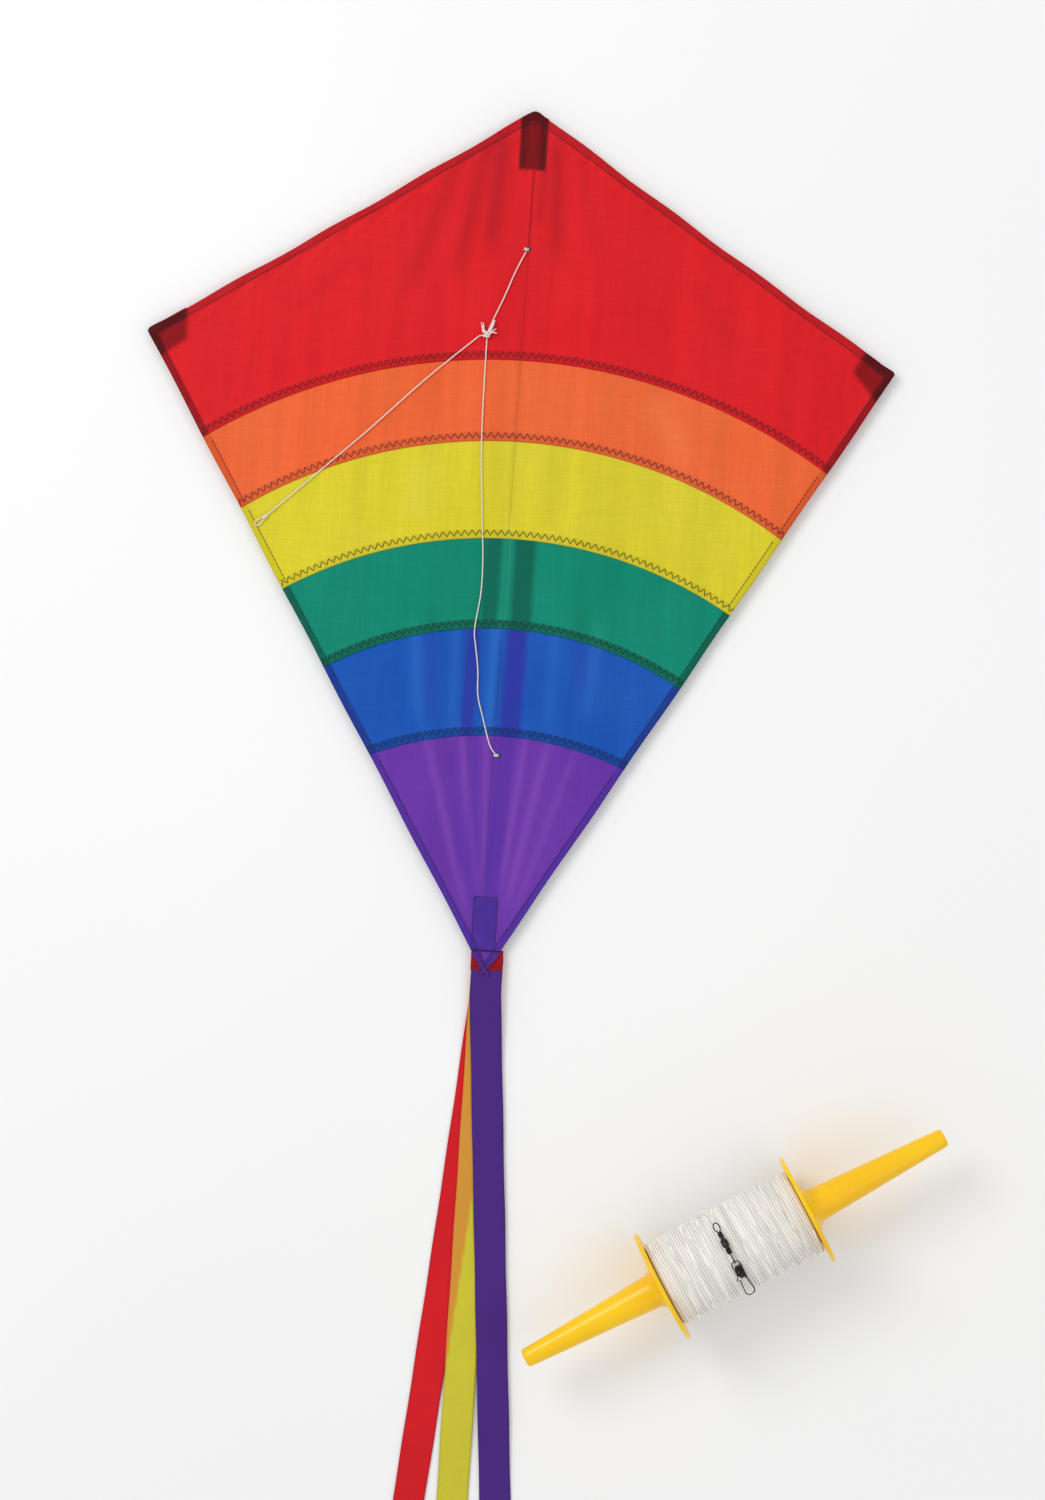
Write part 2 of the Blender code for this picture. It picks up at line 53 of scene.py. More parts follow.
SEAM_APEXES = (-0.0068, -0.0636, -0.1317, -0.1947, -0.2698)
SEAM_RADII = (0.394, 0.341, 0.300, 0.243, 0.225)
EDGE_Z = 0.0062
CROWN = 0.0024
CROWN_POWER = 1.4
SPINE_NOSE = 0.164
SPINE_TAIL = -0.417
UPPER_TIE_Y = 0.0711
LOWER_TIE_Y = -0.2833
KNOT = (-0.0243, 0.0134)
LINE_R = 0.00065
THIN_R = 0.00048
LINE_CLEAR = 0.00035
CAD_CLOTH = 0.0005
UPPER_LEG = ((-0.0206, 0.0214), (-0.0140, 0.0372), (-0.0075, 0.0548), (-0.0010, 0.0692))
LOWER_LEG = (
    (-0.0246, 0.0064), (-0.0242, -0.0588), (-0.0209, -0.1126), (-0.0183, -0.1447),
    (-0.0181, -0.1706), (-0.0211, -0.1960), (-0.0198, -0.2065), (-0.0170, -0.2246),
    (-0.0160, -0.2420), (-0.0115, -0.2579), (-0.0055, -0.2771), (-0.0016, -0.2823),
)
LEADER = (
    (-0.0300, 0.0086), (-0.0660, -0.0240), (-0.1030, -0.0610), (-0.1400, -0.0960), (-0.1720, -0.1262),
)
LEADER_LOOP_R = 0.0035
POCKET_RIM_Z = 0.0052
NOSE_POCKET = (0.010, 0.127, 0.1655)
TAIL_POCKET = (0.008, -0.4205, -0.3821)
WING_POCKET_UPPER = (-0.0260, 0.0168)
WING_POCKET_LOWER = (-0.0160, -0.0266)
TAIL_WIDTH = 0.0230
TAIL_LENGTH = 0.800
TAIL_START_Y = -0.4364
TAIL_ROOT_Z = 0.0036
TAIL_LAYER = 0.0008
TAIL_FLOOR_Z = 0.0003
TAIL_DROP = 0.070
TAIL_SPREAD = (0.30, 0.38)
TAIL_TOGETHER = 0.0150
TAIL_TAB_X = 0.0014
WINDER_CENTRE = (0.184, -0.612, 0.040)
WINDER_ANGLE = radians(31.3)
FLANGE_R = 0.040
FLANGE_IN = 0.0550
FLANGE_RIM = 0.0030
HANDLE_TIP = 0.1635
HANDLE_TIP_R = 0.0066
HANDLE_ROOT_R = 0.0118
WINDING_R = 0.0310
CHAIN_A = -0.004
SWIVEL_ANGLE = radians(-20.0)
SWIVEL_RADIUS = 0.0344
BARREL_R = 0.0026
BARREL_HALF = 0.0035
EYE_FAR = 0.0152
LINK_Y = 0.0139
SNAP_RADIUS = 0.0330
SNAP_LENGTH = 0.0320
SNAP_HALF = 0.0037
RING_HALF = 0.0028
SLEEVE_START = 0.0052
SLEEVE_LENGTH = 0.0115
WIRE_R = 0.00042
UP = Vector((0.0, 0.0, 1.0))

LAY = 0.0042
CORD_STEP = 0.004

# Sewing
CELL = 0.0018
CLOTH = 0.00018
OVERLAP = 0.0064
SEAM_LIFT = 0.00036
NOSE_ROUND = 0.010
HEM = 0.0062
HEM_LOWER = 0.0048
HEM_STEP = 0.00016
THREAD_R = 0.00025
ZIGZAG_PITCH = 0.0051
ZIGZAG_HEIGHT = 0.0040
ZIGZAG_INSET = 0.0040

# Colours of each band: cloth, painted shade for creases, pale tone and painted highlight for folds, hems,
# thread and, last, stacked cloth
BAND_COLOURS = {
    "sail_red": ((0.70, 0.010, 0.016), (0.36, 0.006, 0.012), (0.74, 0.022, 0.028),
                 (0.235, 0.003, 0.008), (0.065, 0.002, 0.004), (0.080, 0.0008, 0.003)),
    "sail_orange": ((0.84, 0.125, 0.032), (0.60, 0.070, 0.016), (0.86, 0.20, 0.075),
                    (0.62, 0.085, 0.018), (0.095, 0.006, 0.004), None),
    "sail_yellow": ((0.70, 0.60, 0.022), (0.46, 0.40, 0.012), (0.74, 0.67, 0.075),
                    (0.58, 0.50, 0.016), (0.040, 0.034, 0.004), None),
    "sail_green": ((0.0, 0.235, 0.150), (0.0, 0.110, 0.072), (0.015, 0.32, 0.22),
                   (0.0, 0.092, 0.062), (0.0, 0.022, 0.016), None),
    "sail_blue": ((0.006, 0.082, 0.44), (0.024, 0.028, 0.33), (0.025, 0.150, 0.56),
                  (0.010, 0.030, 0.235), (0.002, 0.010, 0.075), None),
    "sail_purple": ((0.132, 0.032, 0.375), (0.070, 0.024, 0.34), (0.205, 0.060, 0.43),
                    (0.072, 0.024, 0.31), (0.012, 0.003, 0.055), (0.036, 0.022, 0.25)),
}
BAND_NAMES = tuple(BAND_COLOURS)
# How dark the doubled cloth above each band's seam looks
STRIP_STRENGTHS = (0.30, 0.22, 0.14, 0.70, 0.52)


# ---------------------------------------------------------------- materials

class Nodes:
    """A short way to write a node tree."""

    def __init__(self, name):
        self.made = bpy.data.materials.new(name)
        self.made.use_nodes = True
        self.tree = self.made.node_tree
        self.shader = self.tree.nodes["Principled BSDF"]
        self.place = self.node("ShaderNodeTexCoord").outputs["Object"]

    def node(self, kind, **settings):
        made = self.tree.nodes.new(kind)
        for key, value in settings.items():
            setattr(made, key, value)
        return made

    def feed(self, socket, value):
        if isinstance(value, bpy.types.NodeSocket):
            self.tree.links.new(value, socket)
        else:
            socket.default_value = value

    def math(self, operation, a, b=0.0, c=0.0, clamp=False):
        made = self.node("ShaderNodeMath", operation=operation, use_clamp=clamp)
        for slot, value in enumerate((a, b, c)):
            self.feed(made.inputs[slot], value)
        return made.outputs[0]

    def between(self, value, low, high, to_low=0.0, to_high=1.0):
        made = self.node("ShaderNodeMapRange", interpolation_type="SMOOTHSTEP")
        for slot, number in enumerate((value, low, high, to_low, to_high)):
            self.feed(made.inputs[slot], number)
        return made.outputs[0]

    def mix(self, amount, a, b):
        made = self.node("ShaderNodeMix", data_type="RGBA")
        self.feed(made.inputs[0], amount)
        for slot, value in ((6, a), (7, b)):
            self.feed(made.inputs[slot], value if isinstance(value, bpy.types.NodeSocket) else (*value, 1.0))
        return made.outputs[2]

    def noise(self, scale, detail=3.0, stretch=(1.0, 1.0, 1.0), roughness=0.5):
        move = self.node("ShaderNodeMapping")
        self.feed(move.inputs["Vector"], self.place)
        move.inputs["Scale"].default_value = stretch
        made = self.node("ShaderNodeTexNoise")
        self.feed(made.inputs["Vector"], move.outputs[0])
        made.inputs["Scale"].default_value = scale
        made.inputs["Detail"].default_value = detail
        made.inputs["Roughness"].default_value = roughness
        return made.outputs["Fac"]

    def axes(self):
        made = self.node("ShaderNodeSeparateXYZ")
        self.feed(made.inputs[0], self.place)
        return made.outputs

    def attribute(self, name):
        return self.node("ShaderNodeAttribute", attribute_name=name).outputs["Fac"]

    def bump(self, height, distance, strength=1.0):
        made = self.node("ShaderNodeBump")
        made.inputs["Distance"].default_value = distance
        made.inputs["Strength"].default_value = strength
        self.feed(made.inputs["Height"], height)
        self.feed(self.shader.inputs["Normal"], made.outputs[0])

    def finish(self, colour, roughness, metallic=0.0, **sockets):
        self.feed(self.shader.inputs["Base Color"], colour)
        self.feed(self.shader.inputs["Roughness"], roughness)
        self.shader.inputs["Metallic"].default_value = metallic
        for key, value in sockets.items():
            self.shader.inputs[key.replace("_", " ")].default_value = value
        return self.made


def shade(colour, factor):
    return tuple(min(1.0, channel * factor) for channel in colour)


def weave(nodes, pitch):
    """Height of a plain weave: warp and weft crossing at the given pitch."""
    axes = nodes.axes()
    warp = nodes.math("SINE", nodes.math("MULTIPLY", axes[0], 2.0 * pi / pitch))
    weft = nodes.math("SINE", nodes.math("MULTIPLY", axes[1], 2.0 * pi / pitch))
    return nodes.math("MULTIPLY_ADD", nodes.math("MULTIPLY", warp, weft), 0.5, 0.5)


def sail_material(name, band, seam=None, tone=1.0):
    """Light nylon: crossed threads, soft streaks, painted shade in creases, painted shadow of the spine,
    painted highlight on folds, and darker doubled cloth.
    """
    nodes = Nodes(name)
    toned = [entry and shade(entry, tone) for entry in BAND_COLOURS[band]]
    colour, crease_shade, pale_tone_and_highlight, hem, _, patch = toned
    streak = nodes.between(nodes.noise(75.0, 3.0, (1.0, 0.055, 1.0)), 0.32, 0.70)
    blotch = nodes.between(nodes.noise(11.0, 4.0), 0.3, 0.7)
    base = nodes.mix(streak, shade(colour, 0.93), shade(colour, 1.05))
    base = nodes.mix(nodes.math("MULTIPLY", blotch, 0.25), base, pale_tone_and_highlight)
    warp = nodes.between(nodes.noise(950.0, 2.0, (1.0, 0.05, 1.0)), 0.34, 0.66)
    weft = nodes.between(nodes.noise(950.0, 2.0, (0.05, 1.0, 1.0)), 0.34, 0.66)
    hatch = nodes.math("MULTIPLY_ADD", warp, 0.5, nodes.math("MULTIPLY", weft, 0.5))
    base = nodes.mix(nodes.math("MULTIPLY", hatch, 0.30), base, shade(colour, 0.66))
    # Painted highlight along the fold ridges, then painted shade in the creases and beside the spine
    base = nodes.mix(nodes.attribute("light"), base, pale_tone_and_highlight)
    base = nodes.mix(nodes.attribute("dark"), base, crease_shade)
    across, along, _ = nodes.axes()
    if seam is not None:
        up = nodes.math("SUBTRACT", along, SEAM_APEXES[seam] - SEAM_RADII[seam])
        square = nodes.math("ADD", nodes.math("POWER", across, 2.0), nodes.math("POWER", up, 2.0))
        above = nodes.math("SUBTRACT", nodes.math("SQRT", square), SEAM_RADII[seam])
        strip = nodes.between(above, OVERLAP - 0.0006, OVERLAP + 0.0004, STRIP_STRENGTHS[seam], 0.0)
        base = nodes.mix(strip, base, shade(colour, 0.42))
    # Painted shadow of the spine: a thin dark line between its two pockets, fainter below the upper tie
    off_line = nodes.math("ABSOLUTE", nodes.math("MULTIPLY_ADD", along, -0.010, across))
    line = nodes.between(off_line, 0.0003, 0.0013, 1.0, 0.0)
    fade = nodes.between(along, 0.060, 0.080, 0.22, 0.62)
    inside = nodes.math("MULTIPLY", nodes.between(along, 0.1265, 0.1275, 1.0, 0.0),
                        nodes.between(along, -0.375, -0.365, 0.0, 1.0))
    line = nodes.math("MULTIPLY", line, nodes.math("MULTIPLY", fade, inside))
    base = nodes.mix(line, base, shade(colour, 0.34))
    base = nodes.mix(nodes.attribute("hem"), base, hem)
    if patch:
        base = nodes.mix(nodes.attribute("patch"), base, patch)
    rough = nodes.between(nodes.noise(40.0, 3.0), 0.2, 0.8, 0.50, 0.66)
    nodes.bump(nodes.math("ADD", weave(nodes, 0.0011), hatch), 0.00006, 0.55)
    return nodes.finish(base, rough, Specular_IOR_Level=0.12)


def ribbon_material(name, colour):
    """Thin ribbon with a fine cross weave and firmer, darker selvages."""
    nodes = Nodes(name)
    grain = nodes.between(nodes.noise(700.0, 2.0, (1.0, 2.2, 1.0)), 0.25, 0.75)
    base = nodes.mix(nodes.math("MULTIPLY", grain, 0.35), colour, shade(colour, 0.68))
    base = nodes.mix(nodes.between(nodes.noise(16.0, 3.0), 0.35, 0.75, 0.0, 0.35), base, shade(colour, 1.18))
    base = nodes.mix(nodes.math("MULTIPLY", nodes.attribute("hem"), 0.55), base, shade(colour, 0.62))
    base = nodes.mix(nodes.math("MULTIPLY", nodes.attribute("under"), 0.85), base,
                     (0.62 * colour[0] + 0.27, 0.44 * colour[1], 0.50 * colour[2] + 0.02))
    nodes.bump(nodes.math("ADD", weave(nodes, 0.0009), grain), 0.00005, 0.6)
    return nodes.finish(base, 0.62, Specular_IOR_Level=0.10)


def thread_material(name, colour):
    """Sewing thread with darker and paler plies."""
    nodes = Nodes(name)
    ply = nodes.noise(2500.0, 1.0)
    base = nodes.mix(nodes.between(ply, 0.3, 0.7), shade(colour, 0.7), shade(colour, 1.5))
    nodes.bump(ply, 0.00005, 0.6)
    return nodes.finish(base, 0.6)


def line_material(name, colour, warm):
    """Silky twisted line: fibre grain along the strand, small warm and grey changes, and on the wound line a
    darker tone per turn with painted shade on the sides of each turn.
    """
    nodes = Nodes(name)
    fibre = nodes.noise(1400.0, 3.0)
    base = nodes.mix(nodes.between(fibre, 0.30, 0.72), warm, colour)
    base = nodes.mix(nodes.between(nodes.noise(60.0, 3.0), 0.40, 0.72, 0.0, 0.45), base, shade(colour, 0.86))
    # Darker tone per turn and painted shade on the sides of the turns, from the wound line's strand
    # attribute
    base = nodes.mix(nodes.attribute("strand"), base, shade(warm, 0.60))
    nodes.bump(fibre, 0.00012, 0.7)
    return nodes.finish(base, 0.42, Sheen_Weight=0.30, Specular_IOR_Level=0.5)


def winder_material():
    """Glossy moulded yellow, slightly deeper in patches, with fine handling marks."""
    nodes = Nodes("winder_yellow")
    depth = nodes.between(nodes.noise(14.0, 3.0), 0.3, 0.75)
    base = nodes.mix(depth, (0.93, 0.530, 0.0008), (0.99, 0.64, 0.0015))
    marks = nodes.between(nodes.noise(260.0, 4.0, (1.0, 0.25, 1.0)), 0.62, 0.75)
    rough = nodes.math("MULTIPLY_ADD", marks, 0.12, 0.24)
    nodes.bump(nodes.noise(120.0, 2.0), 0.00006, 0.35)
    return nodes.finish(base, rough, Specular_IOR_Level=0.30, Coat_Weight=0.10, Coat_Roughness=0.10)


def metal_material():
    """Dark plated wire and sheet, slightly uneven in tint and polish."""
    nodes = Nodes("black_nickel")
    tint = nodes.between(nodes.noise(420.0, 3.0), 0.35, 0.7)
    base = nodes.mix(tint, (0.016, 0.015, 0.015), (0.075, 0.072, 0.070))
    rough = nodes.between(nodes.noise(900.0, 2.0), 0.2, 0.8, 0.16, 0.34)
    nodes.bump(nodes.noise(1500.0, 2.0), 0.00003, 0.4)
    return nodes.finish(base, rough, 1.0)


def rod_material(name, colour, roughness):
    """Drawn or moulded plastic with a fine lengthwise grain."""
    nodes = Nodes(name)
    fibre = nodes.noise(500.0, 3.0, (1.0, 0.03, 1.0))
    base = nodes.mix(nodes.between(fibre, 0.3, 0.7), shade(colour, 0.7), shade(colour, 1.7))
    nodes.bump(fibre, 0.00004, 0.5)
    return nodes.finish(base, roughness)


SAIL = {band: sail_material(band + "_nylon", band, order if order < len(SEAM_APEXES) else None)
        for order, band in enumerate(BAND_NAMES)}
POCKET = {
    "sail_red": sail_material("pocket_red_nylon", "sail_red", tone=0.55),
    "sail_purple": sail_material("pocket_purple_nylon", "sail_purple", tone=0.62),
}
THREAD = {band: thread_material(band + "_thread", colours[4]) for band, colours in BAND_COLOURS.items()}
RIBBON = {
    "tail_red": ribbon_material("ribbon_red", (0.64, 0.012, 0.019)),
    "tail_yellow": ribbon_material("ribbon_yellow", (0.60, 0.545, 0.040)),
    "tail_purple": ribbon_material("ribbon_purple", (0.068, 0.022, 0.215)),
    "tail_tab": ribbon_material("tab_red", (0.32, 0.006, 0.010)),
}
BRIDLE_LINE = line_material("bridle_line", (0.86, 0.80, 0.76), (0.66, 0.55, 0.50))
FLYING_LINE = line_material("flying_line", (1.0, 0.975, 0.935), (0.93, 0.88, 0.82))
YELLOW = winder_material()
METAL = metal_material()
RODS = rod_material("fibreglass_rod", (0.030, 0.030, 0.032), 0.42)
VINYL = rod_material("moulded_vinyl", (0.022, 0.022, 0.024), 0.50)


# ---------------------------------------------------------------- mesh helpers

def piece(name, part, material, body, node=None, smooth=True):
    """Make a mesh object from (points, faces), give it its material and ride it on a body."""
    data = bpy.data.meshes.new(name)
    data.from_pydata([tuple(point) for point in part[0]], [], part[1])
    data.validate()
    data.update()
    if smooth:
        data.shade_smooth()
    data.materials.append(material)
    made = bpy.data.objects.new(name, data)
    bpy.context.scene.collection.objects.link(made)
    if body:
        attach(made, body)
    if node:
        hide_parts(node)
    return made


def store(made, **values):
    """Keep a number for every point, for the material to read."""
    for key, numbers in values.items():
        made.data.attributes.new(key, "FLOAT", "POINT").data.foreach_set("value", numbers)


def join_parts(parts):
    """Several (points, faces) lists as one."""
    points, faces = [], []
    for part_points, part_faces in parts:
        start = len(points)
        points.extend(part_points)
        faces.extend([tuple(index + start for index in face) for face in part_faces])
    return points, faces


def looped_faces(rows, columns, close_rows, close_columns):
    """Faces between the rows of a grid of points that may close on itself either way."""
    faces = []
    for row in range(rows if close_rows else rows - 1):
        after = (row + 1) % rows
        for column in range(columns if close_columns else columns - 1):
            step = (column + 1) % columns
            faces.append((row * columns + column, row * columns + step,
                          after * columns + step, after * columns + column))
    return faces


def slab(tops, bottoms, columns, flip=False):
    """Two grids of points, row after row, closed into one thin sheet."""
    wide, total = columns + 1, len(tops)
    rows = total // wide - 1
    faces = []
    for a, b, c, d in looped_faces(rows + 1, wide, False, False):
        faces += [(a, b, c, d), (total + d, total + c, total + b, total + a)]
    rim = list(range(columns)) + [row * wide + columns for row in range(rows)]
    rim += [rows * wide + column for column in range(columns, 0, -1)]
    rim += [row * wide for row in range(rows, 0, -1)]
    faces += [(a, total + a, total + b, b) for a, b in zip(rim, rim[1:] + rim[:1])]
    return tops + bottoms, [face[::-1] for face in faces] if flip else faces


def carried(path, closed=False):
    """Each point of a path with two directions across it, carried along without twist."""
    normal, frames = None, []
    for index, point in enumerate(path):
        after = path[(index + 1) % len(path)] if closed else path[min(index + 1, len(path) - 1)]
        before = path[index - 1] if closed else path[max(index - 1, 0)]
        ahead = (after - before).normalized()
        normal = ahead.orthogonal().normalized() if normal is None else normal
        normal = (normal - ahead * normal.dot(ahead)).normalized()
        frames.append((point, normal, ahead.cross(normal)))
    return frames


def hoop(centre, first, second, count):
    """Points round an oval with the two given half axes."""
    turns = [2.0 * pi * step / count for step in range(count)]
    return [centre + first * cos(turn) + second * sin(turn) for turn in turns]


def tube(path, radius, sides=8, closed=False):
    """Points and faces of a round bar along a path."""
    path = [Vector(point) for point in path]
    points = []
    for point, first, second in carried(path, closed):
        points += hoop(point, first * radius, second * radius, sides)
    faces = looped_faces(len(path), sides, closed, True)
    if not closed:
        faces.append(tuple(range(sides - 1, -1, -1)))
        faces.append(tuple((len(path) - 1) * sides + corner for corner in range(sides)))
    return points, faces


def strands(path, radius, pitch=LAY, step=0.0007, count=3):
    """A twisted line: strands wound round the path, together as wide as twice the radius."""
    frames = carried(even_route(path, step))
    parts = []
    for strand in range(count):
        around = []
        for index, (point, first, second) in enumerate(frames):
            turn = 2.0 * pi * (strand / count + index * step / pitch)
            around.append(point + (first * cos(turn) + second * sin(turn)) * (0.50 * radius))
        parts.append(tube(around, radius * 0.56, 6))
    return join_parts(parts)


def smooth_route(points, spacing):
    """Points on a smooth curve through the given ones, as the design lays its cords."""
    ends = [points[0]] + list(points) + [points[-1]]
    route = []
    for before, start, end, after in zip(ends, ends[1:], ends[2:], ends[3:]):
        lead = (Vector(end) - Vector(before)) / 6.0
        trail = (Vector(after) - Vector(start)) / 6.0
        count = max(2, round((Vector(end) - Vector(start)).length / spacing))
        route.extend(geometry.interpolate_bezier(
            Vector(start), Vector(start) + lead, Vector(end) - trail, Vector(end), count + 1)[:-1])
    route.append(Vector(points[-1]))
    return route


def even_route(path, step):
    """The same line with points a fixed step apart."""
    path = np.array([tuple(point) for point in path])
    reach = np.concatenate(([0.0], np.cumsum(np.linalg.norm(np.diff(path, axis=0), axis=1))))
    count = max(2, int(round(reach[-1] / step)) + 1)
    marks = np.linspace(0.0, reach[-1], count)
    return [Vector(tuple(np.interp(mark, reach, path[:, axis]) for axis in range(3))) for mark in marks]


def lathe(profile, segments, closed=False):
    """A turned shape about local X from (radius, place along X) points."""
    points, count = [], len(profile)
    for segment in range(segments):
        turn = 2.0 * pi * segment / segments
        points.extend((along, radius * cos(turn), radius * sin(turn)) for radius, along in profile)
    faces = looped_faces(segments, count, True, closed)
    if not closed:
        faces.append(tuple(segment * count for segment in range(segments)))
        faces.append(tuple(segment * count + count - 1 for segment in range(segments - 1, -1, -1)))
    return points, faces


def moved(part, matrix):
    return [matrix @ Vector(point) for point in part[0]], part[1]


def turned_out(part):
    """The same part with every face turned over."""
    return part[0], [face[::-1] for face in part[1]]


# ---------------------------------------------------------------- the sail's surface

def half_width(y):
    if y > 0.0:
        return HALF_SPAN * (NOSE_Y - y) / NOSE_Y
    return HALF_SPAN * (y - TAIL_Y) / -TAIL_Y


def spine_lift(y):
    reach = SPINE_NOSE if y > 0.0 else -SPINE_TAIL
    return cos(0.5 * pi * min(abs(y) / reach, 1.0)) ** 2


def cad_sail_top(x, y):
    across = min(abs(x) / max(half_width(y), 1e-4), 1.0)
    return EDGE_Z + CROWN * spine_lift(y) * (1.0 - across) ** CROWN_POWER + CAD_CLOTH


def smoothstep(low, high, value):
    mix = min(max((value - low) / (high - low), 0.0), 1.0)
    return mix * mix * (3.0 - 2.0 * mix)


# Outward directions of the sail's right upper and right lower edge
UPPER_NORMAL = Vector((NOSE_Y, HALF_SPAN)).normalized()
LOWER_NORMAL = Vector((-TAIL_Y, -HALF_SPAN)).normalized()


def edge_distances(x, y):
    """How far inside the upper and the lower edge a point of the sail lies."""
    here = Vector((abs(x), y))
    upper = UPPER_NORMAL.dot(Vector((0.0, NOSE_Y)) - here)
    lower = LOWER_NORMAL.dot(Vector((HALF_SPAN, 0.0)) - here)
    return upper, lower


# Creases: start and end on the sail, half width, strength. The nose, flat and soft creases get painted shade
# and the highlighted creases a painted highlight; some of them also shape the wrinkles
NOSE_CREASES = (
    (-0.050, 0.138, -0.082, 0.040, 0.0060, 0.36), (-0.031, 0.150, -0.048, 0.052, 0.0060, 0.46),
    (-0.021, 0.150, -0.026, 0.070, 0.0062, 0.60), (0.016, 0.146, 0.021, 0.066, 0.0060, 0.48),
    (0.008, 0.128, 0.006, 0.092, 0.0034, 0.40), (0.034, 0.140, 0.048, 0.072, 0.0060, 0.20),
    (-0.118, 0.062, -0.160, 0.020, 0.0060, 0.16), (0.120, 0.050, 0.150, 0.010, 0.0070, 0.14),
)
SHADED_FLAT_FOLDS = {
    3: ((-0.0105, -0.100, -0.0118, -0.230, 0.0060, 0.80), (0.0112, -0.100, 0.0105, -0.230, 0.0078, 0.92)),
    4: ((-0.0210, -0.170, -0.0228, -0.290, 0.0046, 0.75), (0.0098, -0.170, 0.0074, -0.290, 0.0074, 0.85)),
    5: ((0.0078, -0.240, 0.0010, -0.385, 0.0060, 0.50), (-0.0195, -0.240, -0.0120, -0.385, 0.0042, 0.35)),
}
SOFT_CREASES = (
    (-0.052, -0.185, -0.049, -0.262, 0.0050, 0.24), (0.052, -0.180, 0.058, -0.240, 0.0055, 0.22),
    (-0.032, -0.290, -0.020, -0.372, 0.0040, 0.30), (0.028, -0.060, 0.026, -0.120, 0.0060, 0.20),
    (-0.012, -0.020, -0.014, -0.110, 0.0040, 0.16),
)
HIGHLIGHTED_CREASES = (
    (-0.050, -0.275, -0.016, -0.392, 0.0034, 0.60), (-0.026, -0.270, -0.009, -0.376, 0.0028, 0.62),
    (-0.008, -0.272, -0.004, -0.372, 0.0022, 0.50), (0.019, -0.274, 0.008, -0.376, 0.0026, 0.66),
    (0.034, -0.278, 0.013, -0.388, 0.0034, 0.72), (0.052, -0.285, 0.019, -0.392, 0.0030, 0.50),
    (-0.0005, -0.120, -0.0015, -0.200, 0.0026, 0.60), (-0.0060, -0.190, -0.0075, -0.275, 0.0040, 0.60),
    (-0.0340, -0.198, -0.0330, -0.266, 0.0040, 0.35), (0.066, -0.190, 0.060, -0.250, 0.0050, 0.40),
    (-0.062, -0.200, -0.056, -0.262, 0.0050, 0.40), (0.036, -0.200, 0.034, -0.262, 0.0046, 0.30),
    (0.096, -0.030, 0.120, -0.072, 0.0100, 0.35), (-0.060, -0.085, -0.070, -0.120, 0.0120, 0.25),
)


def crease_field(x, y, creases, flat_top=0.0):
    """Strength at a point of a family of creases, each fading out at both of its ends."""
    total = 0.0
    for x0, y0, x1, y1, width, strength in creases:
        along_x, along_y = x1 - x0, y1 - y0
        size = hypot(along_x, along_y)
        mix = ((x - x0) * along_x + (y - y0) * along_y) / size ** 2
        if mix < -0.2 or mix > 1.2:
            continue
        away = abs((x - x0) * along_y - (y - y0) * along_x) / size
        away = max(away / width - flat_top, 0.0) / (1.0 - flat_top)
        fade = smoothstep(-0.18, 0.10, mix) * (1.0 - smoothstep(0.80, 1.18, mix))
        total += strength * fade * exp_bell(away)
    return total


def exp_bell(value):
    return float(np.exp(-value * value)) if abs(value) < 3.0 else 0.0


def painted_shade_at(band, x, y):
    """Painted shade in the folds of the cloth, and painted shade beside the spine."""
    dark = crease_field(x, y, NOSE_CREASES) + crease_field(x, y, SOFT_CREASES)
    dark += crease_field(x, y, SHADED_FLAT_FOLDS.get(band, ()), 0.60)
    if SPINE_TAIL < y < 0.070:
        dark += 0.16 * exp_bell((x + 0.001) / 0.0030)
    return min(dark, 1.0)


# Painted highlight along the ridges of the folds
def painted_highlight_at(x, y):
    return min(crease_field(x, y, HIGHLIGHTED_CREASES), 0.9)


# The doubled cloth at the wing tips, as corners inwards and upwards from the tip
LEFT_CORNER = ((0.0277, 0.0190), (0.0298, -0.0052), (0.0109, -0.0190))
RIGHT_CORNER = ((0.0225, 0.0160), (0.0312, -0.0008), (0.0130, -0.0220))
TAIL_BOX = (-0.0018, 0.0083)


def corner_mask(x, y):
    """1 on the doubled cloth at a wing tip, fading over about two millimetres."""
    upper, side, lower = LEFT_CORNER if x < 0.0 else RIGHT_CORNER
    spot = Vector((HALF_SPAN - abs(x), y))
    mask = 1.0
    for start, end in ((upper, side), (side, lower)):
        run = Vector(end) - Vector(start)
        out = Vector((-run.y, run.x)).normalized()
        mask *= 1.0 - smoothstep(-0.0030, 0.0018, out.dot(spot - Vector(start)))
    return mask


def patch_at(x, y):
    """How dark the stacked cloth is at the nose, at both wing tips and at the tail."""
    upper, lower = edge_distances(x, y)
    hem = 1.0 - smoothstep(HEM - 0.0004, HEM + 0.0006, min(upper, lower + 0.0012))
    wing = corner_mask(x, y) * (0.72 + 0.26 * hem) if abs(x) > 0.22 else 0.0
    nose = (1.0 - smoothstep(0.0094, 0.0104, abs(x))) * smoothstep(0.1264, 0.1276, y)
    if nose > 0.0:
        stripes = 0.80 + 0.16 * exp_bell((x - 0.0066) / 0.0027) + 0.12 * exp_bell((x + 0.0074) / 0.0024)
        stripes += 0.10 * noise.noise(Vector((x * 420.0, y * 60.0, 8.0)))
        nose *= min(stripes + 0.18 * hem, 1.0)
    tail = (1.0 - smoothstep(TAIL_BOX[1] - 0.0004, TAIL_BOX[1] + 0.0004, abs(x - TAIL_BOX[0])))
    tail *= smoothstep(-0.4210, -0.4198, y) * (1.0 - smoothstep(-0.3832, -0.3820, y))
    tail *= 0.66 + 0.20 * noise.noise(Vector((x * 90.0, y * 90.0, 3.0)))
    return max(nose, wing, tail)


